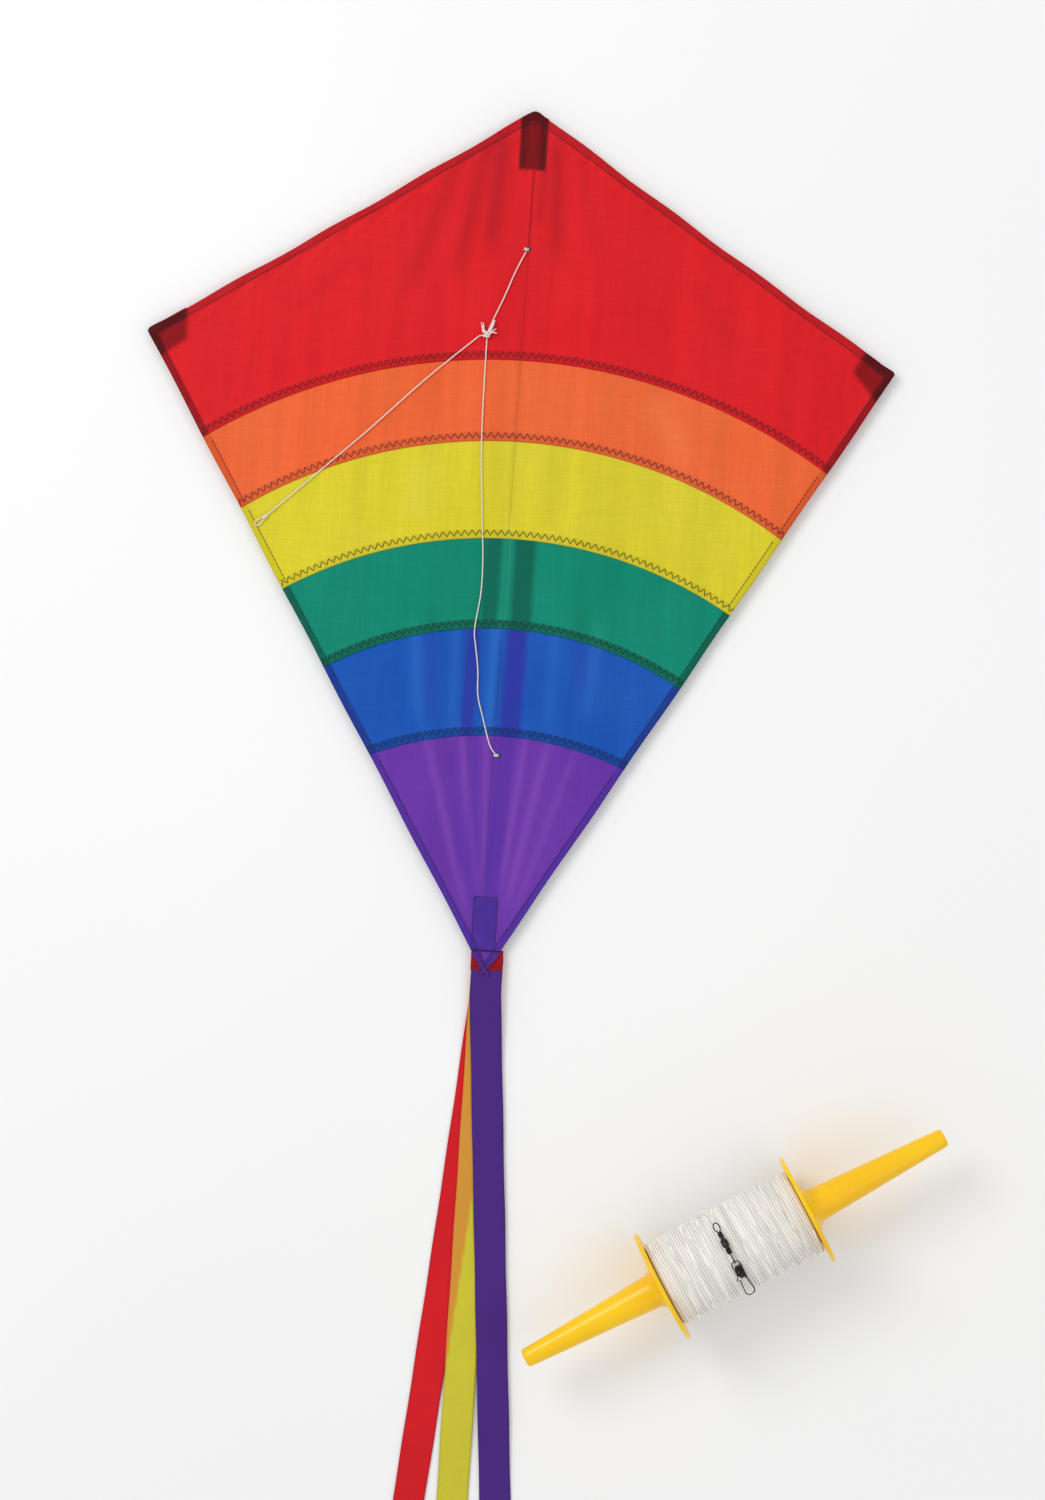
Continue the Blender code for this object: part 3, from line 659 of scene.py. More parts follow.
def relief(x, y):
    """Wrinkles of the stretched cloth, in metres."""
    height = 0.00045 * crease_field(x, y, NOSE_CREASES) - 0.00035 * crease_field(x, y, SHADED_FLAT_FOLDS[4], 0.3)
    height += 0.00035 * crease_field(x, y, HIGHLIGHTED_CREASES) - 0.00030 * crease_field(x, y, SOFT_CREASES)
    height += 0.00022 * noise.noise(Vector((x * 26.0, y * 17.0, 1.7)))
    height += 0.00007 * noise.noise(Vector((x * 120.0, y * 80.0, 4.1)))
    upper, lower = edge_distances(x, y)
    pucker = 0.00024 * sin(upper * 40.0 + (x * 1.4 - y) * 330.0) * (1.0 - smoothstep(0.006, 0.022, upper))
    pucker += 0.00018 * sin((abs(x) * 0.5 + y) * 360.0) * (1.0 - smoothstep(0.004, 0.016, lower))
    return (height + pucker) * smoothstep(0.0, 0.004, min(upper, lower) + 0.002)


def sail_height(x, y):
    """Underside of the cloth away from the seams: just where the design's sail is."""
    return cad_sail_top(x, y) - CAD_CLOTH + relief(x, y)


def seam_y(seam, x):
    radius = SEAM_RADII[seam]
    return SEAM_APEXES[seam] - radius + sqrt(max(radius * radius - x * x, 0.0))


def above_seam(seam, x, y):
    centre = SEAM_APEXES[seam] - SEAM_RADII[seam]
    return hypot(x, y - centre) - SEAM_RADII[seam]


def raised(band, x, y):
    """Lift of a band's cloth where it lies on the next band's edge."""
    if band >= len(SEAM_APEXES):
        return 0.0
    gap = above_seam(band, x, y)
    return SEAM_LIFT * (1.0 - smoothstep(OVERLAP, OVERLAP + 0.004, gap))


def top_surface(band, x, y):
    upper, lower = edge_distances(x, y)
    hem = max(1.0 - smoothstep(HEM, HEM + 0.0009, upper),
              1.0 - smoothstep(HEM_LOWER, HEM_LOWER + 0.0009, lower))
    return sail_height(x, y) + raised(band, x, y) + CLOTH + HEM_STEP * hem


CORNER_R = 0.0034
CORNER_IN = (LOWER_NORMAL + UPPER_NORMAL).normalized()


def rounded_corner(x, y):
    """Move a point of the pointed wing tip onto the tip's small round."""
    if abs(x) < HALF_SPAN - 0.006:
        return x, y
    spread = UPPER_NORMAL.dot(CORNER_IN)
    middle = Vector((HALF_SPAN, 0.0)) - CORNER_IN * (CORNER_R / spread)
    away = Vector((abs(x), y)) - middle
    if away.length <= CORNER_R or away.dot(UPPER_NORMAL) < 0.0 or away.dot(LOWER_NORMAL) < 0.0:
        return x, y
    spot = middle + away * (CORNER_R / away.length)
    return (spot.x if x > 0.0 else -spot.x), spot.y


def outline_pull(x, y):
    """Small waves that the sewing pulls into the sail's straight edges, as an inward shift."""
    upper, lower = edge_distances(x, y)
    along = hypot(HALF_SPAN - abs(x), y) / hypot(HALF_SPAN, NOSE_Y)
    side = 1.0 if x > 0.0 else -1.0
    up = 0.0011 * sin(pi * min(along, 1.0)) + 0.00045 * (1.0 + sin(26.0 * along + 1.3 * side))
    down_along = hypot(HALF_SPAN - abs(x), y) / hypot(HALF_SPAN, TAIL_Y)
    down = 0.00030 * (1.0 + sin(31.0 * down_along + 0.7 * side))
    ends = smoothstep(0.0, 0.05, along) * smoothstep(1.0, 0.95, along) if y > 0.0 else 1.0
    shift_up = UPPER_NORMAL * (up * ends * (1.0 - smoothstep(0.0, 0.02, upper)) if y > -0.004 else 0.0)
    shift_down = LOWER_NORMAL * (down * (1.0 - smoothstep(0.0, 0.015, lower)) if y < 0.0 else 0.0)
    shift = shift_up + shift_down
    return rounded_corner(x - side * shift.x, y - shift.y)


def seam_end(seam):
    x = half_width(SEAM_APEXES[seam])
    for _ in range(60):
        x = half_width(seam_y(seam, x))
    return x


def over_arc(seam, rise):
    """The arc a given distance above a seam, between the sail's edges, for s from -1 to 1."""
    radius = SEAM_RADII[seam] + rise
    centre = SEAM_APEXES[seam] - SEAM_RADII[seam]
    reach = seam_end(seam)
    for _ in range(60):
        reach = half_width(centre + sqrt(radius * radius - reach * reach))
    return lambda s: (reach * s, centre + sqrt(radius * radius - (reach * s) ** 2))


def make_band(band):
    """One sewn band of the sail, its upper edge tucked under the band above."""
    name = BAND_NAMES[band]
    if band == 0:
        upper = lambda s: (HALF_SPAN * s, NOSE_Y * (1.0 - sqrt(s * s + NOSE_ROUND ** 2 * (1.0 - abs(s)))))
    else:
        upper = over_arc(band - 1, OVERLAP - 0.0006)
    if band == 5:
        lower = lambda s: (0.0019 * s, TAIL_Y + 0.0030)
    else:
        lower = over_arc(band, 0.0)
    wide = max(abs(upper(1.0)[0]), abs(lower(1.0)[0])) * 2.0
    tall = abs(upper(0.0)[1] - lower(0.0)[1])
    columns = 2 * int(round(0.5 * wide / CELL))
    rows = max(6, int(round(tall / CELL)))
    spots = []
    for row in range(rows + 1):
        mix = row / rows
        for column in range(columns + 1):
            s = -1.0 + 2.0 * column / columns
            a, b = lower(s), upper(s)
            x, y = a[0] + (b[0] - a[0]) * mix, a[1] + (b[1] - a[1]) * mix
            spots.append((*outline_pull(x, y), x, y))
    tops, bottoms = [], []
    painted = {"dark": [], "light": [], "hem": [], "patch": []}
    for x, y, flat_x, flat_y in spots:
        tuck = 0.0
        if band > 0:
            tuck = 0.00012 * smoothstep(0.0, 0.001, above_seam(band - 1, flat_x, flat_y))
        tops.append((x, y, top_surface(band, flat_x, flat_y) - tuck))
        bottoms.append((x, y, sail_height(flat_x, flat_y) + raised(band, flat_x, flat_y) - tuck))
        upper_in, lower_in = edge_distances(flat_x, flat_y)
        painted["hem"].append(max(
            0.42 * (1.0 - smoothstep(HEM - 0.0006, HEM + 0.0006, upper_in)),
            0.85 * (1.0 - smoothstep(HEM_LOWER - 0.0006, HEM_LOWER + 0.0006, lower_in))))
        painted["patch"].append(patch_at(flat_x, flat_y))
        # Painted shade in creases and beside the spine, and painted highlight on fold ridges, for the
        # material
        painted["dark"].append(painted_shade_at(band, flat_x, flat_y))
        painted["light"].append(painted_highlight_at(flat_x, flat_y))
    made = piece(name + "_cloth", slab(tops, bottoms, columns), SAIL[name], "kite", name)
    store(made, **{key: values * 2 for key, values in painted.items()})


# ---------------------------------------------------------------- sewing thread

def band_at(x, y):
    for seam in range(len(SEAM_APEXES)):
        if above_seam(seam, x, y) > 0.0:
            return seam
    return len(SEAM_APEXES)


def surface_point(x, y, band=None):
    band = band_at(x, y) if band is None else band
    return Vector((x, y, top_surface(band, x, y) + 0.6 * THREAD_R))


def stitches(line, length=0.0023, gap=0.0006):
    """Separate stitches along a line on the sail, each dipping into the cloth at its ends."""
    route = even_route([(x, y, 0.0) for x, y in line], length + gap)
    parts = []
    for start, end in zip(route, route[1:]):
        run = end - start
        inside = run * (length / (length + gap))
        dots = []
        for step in range(4):
            mix = step / 3.0
            spot = start + inside * mix
            shown = surface_point(spot.x, spot.y)
            shown.z -= 0.00022 * (2.0 * mix - 1.0) ** 4
            dots.append(shown)
        parts.append(tube(dots, THREAD_R, 5))
    return parts


def zigzag(seam):
    """The zigzag that joins two bands, a little above their colour edge."""
    radius = SEAM_RADII[seam] + ZIGZAG_INSET
    centre = SEAM_APEXES[seam] - SEAM_RADII[seam]
    reach = over_arc(seam, ZIGZAG_INSET)(1.0)[0]
    half_turn = acos(sqrt(radius * radius - reach * reach) / radius)
    count = int(round(2.0 * half_turn * radius / (0.5 * ZIGZAG_PITCH)))
    dots = []
    for step in range(count + 1):
        turn = -half_turn + 2.0 * half_turn * step / count
        away = radius + (0.5 if step % 2 else -0.5) * ZIGZAG_HEIGHT
        x, y = away * sin(turn), centre + away * cos(turn)
        limit = half_width(y) - 0.0012
        dots.append(surface_point(max(-limit, min(limit, x)), y, seam))
    fine = []
    for a, b in zip(dots, dots[1:]):
        middle = 0.5 * (a + b)
        middle.z += 0.00012
        fine += [a, a.lerp(middle, 0.85), middle, middle.lerp(b, 0.15)]
    fine.append(dots[-1])
    return tube(fine, THREAD_R * 1.08, 5)


def inset_line(start, end, inward, count=80):
    return [tuple(Vector(start).lerp(Vector(end), i / count) + Vector(inward)) for i in range(count + 1)]


def make_thread():
    """Hem lines, pocket boxes and bar tacks, sorted by the band they are sewn to."""
    parts = {band: [] for band in BAND_NAMES}
    lines = []
    for side in (-1.0, 1.0):
        for normal, ends, inset in (
                (UPPER_NORMAL, ((0.006, NOSE_Y - 0.0038), (HALF_SPAN - 0.0005, 0.0004)), HEM),
                (LOWER_NORMAL, ((HALF_SPAN - 0.002, -0.0034), (0.0068, TAIL_Y + 0.0113)), HEM_LOWER)):
            run = [(side * x, y) for x, y in inset_line(ends[0], ends[1], -inset * normal)]
            lines.append([spot for spot in run if abs(spot[0]) < half_width(spot[1]) - 0.002])
        lines.append([(side * 0.0080, y) for y in np.linspace(0.1292, 0.1592, 20)])
        lines.append([(TAIL_BOX[0] + side * TAIL_BOX[1], y) for y in np.linspace(-0.4190, -0.3828, 22)])
    lines.append([(x, 0.1292) for x in np.linspace(-0.0080, 0.0080, 10)])
    lines.append([(x, 0.1600) for x in np.linspace(-0.0070, 0.0070, 10)])
    lines.append([(TAIL_BOX[0] + x, -0.3828) for x in np.linspace(-TAIL_BOX[1], TAIL_BOX[1], 10)])
    for line in lines:
        by_band = {}
        for spot in line:
            by_band.setdefault(BAND_NAMES[band_at(*spot)], []).append(spot)
        for band, run in by_band.items():
            if len(run) > 1:
                parts[band] += stitches(run)
    for seam in range(len(SEAM_APEXES)):
        parts[BAND_NAMES[seam]].append(zigzag(seam))
    for start, end in (((-0.0042, -0.4224), (0.0018, -0.4330)), ((0.0038, -0.4218), (-0.0026, -0.4338))):
        run = [Vector(start).lerp(Vector(end), i / 12) for i in range(13)]
        over = [Vector((spot.x, spot.y, EDGE_Z + CAD_CLOTH + 0.00072)) for spot in run]
        parts["sail_purple"].append(tube(over, 0.8 * THREAD_R, 5))
    for side in (-1.0, 1.0):
        hem_row = [Vector((TAIL_TAB_X + side * x, -0.4316, 0.00585)) for x in np.linspace(0.0035, 0.0110, 8)]
        parts["sail_red"].append(tube(hem_row, THREAD_R, 5))
    for offset in (-0.0004, 0.0, 0.0004):
        bar = [(x, -0.4203 + offset + 0.0002 * sin(4000.0 * x)) for x in np.linspace(-0.0098, 0.0098, 60)]
        parts["sail_purple"] += stitches(bar, 0.0012, 0.0002)
    for band in BAND_NAMES:
        piece(band + "_stitching", join_parts(parts[band]), THREAD[band], "kite")


def make_eyelets():
    """The small burnt rims of the two holes that the bridle passes through, each with a dark disc in it as
    painted shade for the hole's inside.
    """
    count = 24
    for name, y in (("upper_hole_rim", UPPER_TIE_Y), ("lower_hole_rim", LOWER_TIE_Y)):
        band = band_at(0.0, y)
        ring = []
        for step in range(count):
            turn = 2.0 * pi * step / count
            wobble = 0.0012 + 0.00015 * sin(3.0 * turn)
            ring.append(surface_point(0.0010 + wobble * cos(turn), y + 1.25 * wobble * sin(turn), band))
        # A dark disc over the hole: painted shade for its dark inside
        disc = [point + 0.00006 * UP for point in ring]
        faces = looped_faces(2, count, False, True)
        faces += [tuple(range(count)), tuple(range(2 * count - 1, count - 1, -1))]
        hole_shade_disc = (disc + [point - 0.0002 * UP for point in disc],
                [face[::-1] if len(face) == 4 else face for face in faces])
        rim = tube(ring, 0.00024, 6, closed=True)
        piece(name, join_parts([rim, hole_shade_disc]), VINYL, "kite")


# ---------------------------------------------------------------- pockets behind the sail

def make_pockets():
    """The doubled cloth pockets that hold the rod ends."""
    def pocket_z(distance):
        return POCKET_RIM_Z * smoothstep(0.0036, 0.0085, distance)

    def strip(half, y_low, y_high):
        def place(s, t):
            y = y_low + (y_high - y_low) * t
            x = s * min(half, half_width(y) - 0.0008)
            return x, y, pocket_z(abs(x))
        return place

    def corner(side):
        def place(s, t):
            inward = 0.14 + 0.86 * (1.0 - t)
            low, high = Vector(WING_POCKET_LOWER) * inward, Vector(WING_POCKET_UPPER) * inward
            spot = low.lerp(high, 0.5 * (side * s + 1.0))
            return side * (HALF_SPAN - 0.0008 + spot.x), spot.y, pocket_z(abs(spot.y))
        return place

    columns, rows = 40, 30
    for name, place, slot in (
            ("nose_pocket", strip(*NOSE_POCKET), "sail_red"),
            ("tail_pocket", strip(*TAIL_POCKET), "sail_purple"),
            ("left_wing_pocket", corner(-1.0), "sail_red"),
            ("right_wing_pocket", corner(1.0), "sail_red")):
        tops, bottoms = [], []
        for row in range(rows + 1):
            for column in range(columns + 1):
                x, y, z = place(-1.0 + 2.0 * column / columns, row / rows)
                z += 0.00012 + 0.00010 * noise.noise(Vector((x * 160.0, y * 160.0, 7.0)))
                bottoms.append((x, y, max(z, 0.00005)))
                tops.append((x, y, max(z, 0.00005) + 0.00030))
        sheet = slab(tops, bottoms, columns, flip=name.endswith("wing_pocket"))
        piece(name + "_cloth", sheet, POCKET[slot], "kite", name)


# ---------------------------------------------------------------- bridle

def on_sail(x, y):
    return Vector((x, y, cad_sail_top(x, y) + LINE_CLEAR + LINE_R))


def cord_piece(name, path, radius, twist, material, body, node):
    """A limp twisted cord along a path."""
    made = piece(name, strands(path, radius, *twist), material, body, node)


# The tow knot: turn, size and place of its wraps, and the tails and strand ends that stick out of it
KNOT_WRAPS = (
    (0.2, 0.0017, -0.0014), (0.6, 0.0020, -0.0004), (-0.4, 0.0019, 0.0008), (1.0, 0.0015, 0.0017),
)
KNOT_ENDS = (
    (((0.0000, -0.0030, 0.0), (0.0022, 0.0016, 0.0006), (0.0040, 0.0056, -0.0004)), 0.00085),
    (((0.0010, -0.0026, 0.0004), (0.0034, 0.0030, 0.0004), (0.0042, 0.0066, -0.0010)), 0.00075),
    (((-0.0010, -0.0032, 0.0), (-0.0030, -0.0004, 0.0008), (-0.0040, 0.0022, -0.0002)), 0.00085),
    (((-0.0014, -0.0034, 0.0), (-0.0036, -0.0012, 0.0), (-0.0026, 0.0024, -0.0006)), 0.00060),
    (((0.0006, -0.0036, 0.0), (0.0036, -0.0020, 0.0006), (0.0062, -0.0024, -0.0010)), 0.00055),
    (((0.0012, -0.0030, 0.0), (0.0040, -0.0006, 0.0004), (0.0056, 0.0006, -0.0010)), 0.00042),
    (((-0.0038, 0.0018, 0.0), (-0.0046, 0.0034, -0.0004), (-0.0050, 0.0046, -0.0010)), 0.00030),
    (((-0.0034, 0.0020, 0.0), (-0.0032, 0.0036, -0.0002), (-0.0036, 0.0048, -0.0008)), 0.00028),
)


def make_tow_knot():
    centre = Vector((*KNOT, cad_sail_top(*KNOT) + LINE_CLEAR + 0.0022))
    body = centre + Vector((-0.0006, -0.0038, -0.0002))
    axis = Vector((0.35, 0.94, 0.0)).normalized()
    side = Vector((axis.y, -axis.x, 0.0))
    parts = []
    for lean, size, away in KNOT_WRAPS:
        across = Matrix.Rotation(lean, 3, "Z") @ side * (1.2 * size)
        parts.append(tube(hoop(body + axis * away, across, UP * (0.85 * size), 20), 0.00060, 7, closed=True))
    for spots, size in KNOT_ENDS:
        parts.append(tube(smooth_route([centre + Vector(spot) for spot in spots], 0.0008), size, 6))
    for spot in (UPPER_LEG[0], LOWER_LEG[0], LEADER[0]):
        reach = smooth_route([body, body.lerp(on_sail(*spot), 0.5), on_sail(*spot)], 0.0008)
        parts.append(strands(reach, THIN_R))
    return piece("tow_knot_wraps", join_parts(parts), BRIDLE_LINE, "bridle", "tow_knot")


def make_leader_loop():
    """The narrow loop at the leader's end, with three turns of line round its root."""
    toward = (Vector(LEADER[-1]) - Vector(LEADER[-2])).normalized()
    middle = Vector(LEADER[-1]) + toward * (LEADER_LOOP_R + 2.0 * LINE_R + 0.0003)
    height = on_sail(*middle).z
    ahead, side = Vector((*toward, 0.0)), Vector((toward.y, -toward.x, 0.0))
    loop = []
    for step in range(33):
        turn = 2.0 * pi * step / 32
        along = LEADER_LOOP_R * 1.1 * cos(turn)
        across = 0.0017 * sin(turn) * (1.0 - 0.35 * cos(turn))
        loop.append(Vector((*middle, height)) - ahead * along - side * across)
    root = Vector((*LEADER[-1], height)) + ahead * 0.0012
    rings = [hoop(root - ahead * 0.0010 * turn, side * 0.0010, UP * 0.0009, 14) for turn in range(3)]
    wraps = [tube(ring, 0.00055, 6, closed=True) for ring in rings]
    return piece("leader_end_loop", join_parts([strands(loop, THIN_R)] + wraps), BRIDLE_LINE,
                 "bridle", "leader_loop")


def make_bridle():
    """The two legs, the leader, their knots and the ties round the spine."""
    for name, spots, node, carry in (
            ("upper_leg_line", UPPER_LEG[::-1], "upper_bridle_leg", make_tow_knot),
            ("lower_leg_line", LOWER_LEG[::-1], "lower_bridle_leg", None),
            ("leader_twist", LEADER, "leader_line", make_leader_loop)):
        pieces = [carry()] if carry else []
        path = even_route(smooth_route([on_sail(*spot) for spot in spots], CORD_STEP), CORD_STEP)
        cord_piece(name, path, THIN_R, (), BRIDLE_LINE, "bridle", node)
    for name, y, node in (("upper_tie_wraps", UPPER_TIE_Y, "upper_bridle_tie"),
                          ("lower_tie_wraps", LOWER_TIE_Y, "lower_bridle_tie")):
        low = 0.0033 + 0.0034 * spine_lift(y)
        size = cad_sail_top(0.0, y) + 0.0003 - low
        parts = []
        for shift in (-0.0006, 0.0005):
            ring = [Vector((0.86 * size * cos(a) * (0.45 if sin(a) > 0.55 else 1.0), y + shift,
                            low + size * sin(a))) for a in np.linspace(0.0, 2.0 * pi, 29)[:-1]]
            parts.append(tube(ring, 0.00048, 7, closed=True))
        crown = Vector((-0.0012, y, cad_sail_top(0.0, y) + 0.0006))
        for lean in (0.4, 2.2):
            across = Vector((0.0012 * cos(lean), 0.0012 * sin(lean), 0.0))
            parts.append(tube(hoop(crown, across, UP * 0.0006, 14), 0.00045, 6, closed=True))
        piece(name, join_parts(parts), BRIDLE_LINE, "kite", node)


# ---------------------------------------------------------------- tails

# name, layer from the bottom, start x, lean from the spine, sideways bow
RIBBONS = (
    ("tail_red", 0, 0.0018, -0.0840, -0.020),
    ("tail_yellow", 1, 0.0015, -0.0063, 0.004),
    ("tail_purple", 2, 0.0018, 0.0770, 0.006),
)
ROOT_BACK = 0.0125


def ribbon_centre(start_x, lean, bow, along):
    apart = max(along - TAIL_TOGETHER, 0.0)
    return start_x + lean * apart + bow * apart ** 2


def ribbon_height(layer, along):
    """Underside of a ribbon: stacked at its root, then down on the floor as the three spread."""
    root = TAIL_ROOT_Z + TAIL_LAYER * layer
    stack = TAIL_FLOOR_Z + TAIL_LAYER * layer
    z = root + (stack - root) * smoothstep(0.0, TAIL_DROP, along)
    return z + (TAIL_FLOOR_Z - stack) * smoothstep(*TAIL_SPREAD, along)


def make_ribbon(name, layer, start_x, lean, bow):
    """A ribbon from its sewn root under the sail's tip to its hot-cut end."""
    rows, columns = 330, 14
    tops, bottoms, hems, unders = [], [], [], []
    red = RIBBONS[0]
    for row in range(rows + 1):
        along = -ROOT_BACK + (TAIL_LENGTH + ROOT_BACK) * row / rows
        centre = ribbon_centre(start_x, lean, bow, along)
        fall = min(max(along, 0.0) / 0.1, 1.0)
        for column in range(columns + 1):
            across = -1.0 + 2.0 * column / columns
            half = 0.485 * TAIL_WIDTH * (1.0 - 0.012 * (1.0 + sin(along * 90.0 + layer)))
            x = centre + across * half
            y = TAIL_START_Y - along
            wave = 0.00016 * sin(along * 55.0 + layer * 2.0) * fall
            wave += 0.00010 * noise.noise(Vector((x * 60.0, y * 40.0, layer * 3.0)))
            selvage = smoothstep(0.88, 0.93, abs(across))
            z = ribbon_height(layer, along) + 0.00018 + 0.6 * wave
            bottoms.append((x, y, z))
            tops.append((x, y, z + 0.00020 + 0.00008 * selvage))
            hems.append(0.8 * selvage)
            covered = 0.0
            if name == "tail_yellow":
                away = abs(x - ribbon_centre(*red[2:], along)) - 0.5 * TAIL_WIDTH
                covered = 1.0 - smoothstep(-0.0006, 0.0006, away)
            unders.append(covered)
    made = piece(name + "_ribbon", slab(tops, bottoms, columns, flip=True), RIBBON[name], None,
                 name)
    store(made, hem=hems * 2, under=unders * 2)
    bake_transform(made)


def make_tail_root():
    """The red tab behind the sail's tip, the crossed hem ends on it."""
    columns, rows = 16, 12
    tops, bottoms = [], []
    for row in range(rows + 1):
        for column in range(columns + 1):
            x = TAIL_TAB_X + 0.0112 * (-1.0 + 2.0 * column / columns)
            y = -0.4340 + 0.0143 * row / rows
            z = 0.0053 + 0.00008 * noise.noise(Vector((x * 300.0, y * 300.0, 2.0)))
            bottoms.append((x, y, z))
            tops.append((x, y, z + 0.00035))
    piece("tail_tab_cloth", slab(tops, bottoms, columns), RIBBON["tail_tab"], "kite", "tail_tab")

    parts = []
    for side in (-1.0, 1.0):
        start = Vector((side * 0.0088, -0.4216))
        end = Vector((-side * 0.0026, -0.4372))
        run = (end - start).normalized()
        across = Vector((-run.y, run.x)) * 0.0017
        z = EDGE_Z + CAD_CLOTH + (0.00012 if side > 0.0 else 0.00042)
        low = [Vector((*corner, z)) for corner in
               (start - across, start + across, end - across * 0.55, end + across * 0.55)]
        parts.append(slab([corner + 0.00022 * UP for corner in low], low, 1, flip=True))
    piece("crossed_hem_ends", join_parts(parts), POCKET["sail_purple"], "kite", smooth=False)


# ---------------------------------------------------------------- winder

AXIS = Matrix.Translation(WINDER_CENTRE) @ Matrix.Rotation(WINDER_ANGLE, 4, "Z")


def arc(centre_r, centre_h, radius, start, end, count):
    return [(centre_r + radius * cos(radians(start + (end - start) * i / count)),
             centre_h + radius * sin(radians(start + (end - start) * i / count))) for i in range(count + 1)]


def make_winder():
    """Two glossy moulded halves: hub, dished flange, flared root and tapering handle."""
    rim = 0.5 * FLANGE_RIM
    outline = [(0.0236, 0.0002), (0.0240, 0.0008), (0.0240, FLANGE_IN - 0.001), (0.0250, FLANGE_IN)]
    outline += [(r, FLANGE_IN) for r in (0.028, 0.032, 0.036)]
    outline += arc(FLANGE_R - rim, FLANGE_IN + rim, rim, -90.0, 90.0, 10)
    outline += [(0.0360, FLANGE_IN + 0.0025), (0.0310, FLANGE_IN + 0.0019), (0.0270, FLANGE_IN + 0.0020),
                (0.0235, FLANGE_IN + 0.0024)]
    flare = 0.0075
    outline += arc(HANDLE_ROOT_R + flare, FLANGE_IN + 0.0034 + flare, flare, 262.0, 184.0, 12)
    tip_round = 0.0022
    count = 14
    root = outline[-1]
    for step in range(1, count):
        mix = step / count
        outline.append((root[0] + (HANDLE_TIP_R - root[0]) * mix,
                        root[1] + (HANDLE_TIP - tip_round - root[1]) * mix))
    outline += arc(HANDLE_TIP_R - tip_round, HANDLE_TIP - tip_round, tip_round, 2.0, 90.0, 8)
    outline += [(0.0030, HANDLE_TIP), (0.0026, HANDLE_TIP - 0.0006), (0.0004, HANDLE_TIP - 0.0008)]
    half = lathe(outline, 112)
    mirror = Matrix.Scale(-1.0, 4, (1.0, 0.0, 0.0))
    for name, node, part in (("right_handle_half", "winder_right_half", turned_out(half)),
                             ("left_handle_half", "winder_left_half", moved(half, mirror))):
        made = piece(name, moved(part, AXIS), YELLOW, "winder", node)
        made.data.set_sharp_from_angle(angle=radians(38.0))


def round_winding(angle, radius, along=CHAIN_A):
    """A point by its angle round the winding, its radius and its place along the axis."""
    return Vector((along, -radius * sin(angle), radius * cos(angle)))


def make_winding():
    """The wound line: a solid core, one close layer of turns and a few crossing turns on top."""
    end = FLANGE_IN - 0.0006
    core = [(0.0243, -end), (WINDING_R - 0.0018, -end), (WINDING_R - 0.0014, 0.003 - end),
            (WINDING_R - 0.0014, end - 0.003), (WINDING_R - 0.0018, end), (0.0243, end)]
    parts = [moved(turned_out(lathe(core, 96, closed=True)), AXIS)]
    strand_tones_and_side_shade = [0.0] * len(parts[0][0])

    def layer(turns, start, stop, radius, thick, phase, wander):
        steps = int(turns * 40)
        path = []
        for step in range(steps + 1):
            mix = step / steps
            turn = 2.0 * pi * (turns * mix + phase)
            along = start + (stop - start) * mix
            astray = Vector((cos(turn) * 1.2, sin(turn) * 1.2, mix * turns * 0.30 + 9.0 * phase))
            along += wander * noise.noise(astray)
            bumpy = Vector((cos(turn) * 2.0, sin(turn) * 2.0, mix * turns * 0.45))
            size = radius + 0.00014 * noise.noise(bumpy)
            size -= 0.0006 * (1.0 - smoothstep(0.0, 0.004, end - abs(along)))
            path.append(AXIS @ Vector((along, size * cos(turn), size * sin(turn))))
            wave = noise.noise(Vector((turns * mix * 0.9, 0.35 * turn, 5.0 * phase)))
            tone = min(max(0.20 + 0.85 * wave, 0.0), 0.62)
            # Each turn's random tone, times painted shade that changes round the sides of the turn
            strand_tones_and_side_shade.extend([tone * side_shade for side_shade in (1.0, 0.7, 0.5, 1.0, 1.3, 1.3)])
        return tube(path, thick, 6)

    reach = end - 0.0009
    parts.append(layer(62.0, -reach, reach, WINDING_R - 0.00090, 0.00084, 0.0, 0.00040))
    parts.append(layer(9.0, reach, -reach, WINDING_R - 0.00042, 0.00072, 0.3, 0.00120))
    parts.append(layer(6.0, -0.046, 0.050, WINDING_R - 0.00040, 0.00068, 0.65, 0.00140))
    wound = piece("wound_line", join_parts(parts), FLYING_LINE, "winder", "line_winding")
    store(wound, strand=strand_tones_and_side_shade)


def chain_frame(angle, radius):
    """The frame of a piece that lies across the winding: X along the axis, Z outwards."""
    return AXIS @ Matrix.Translation(round_winding(angle, radius)) @ Matrix.Rotation(angle, 4, "X")


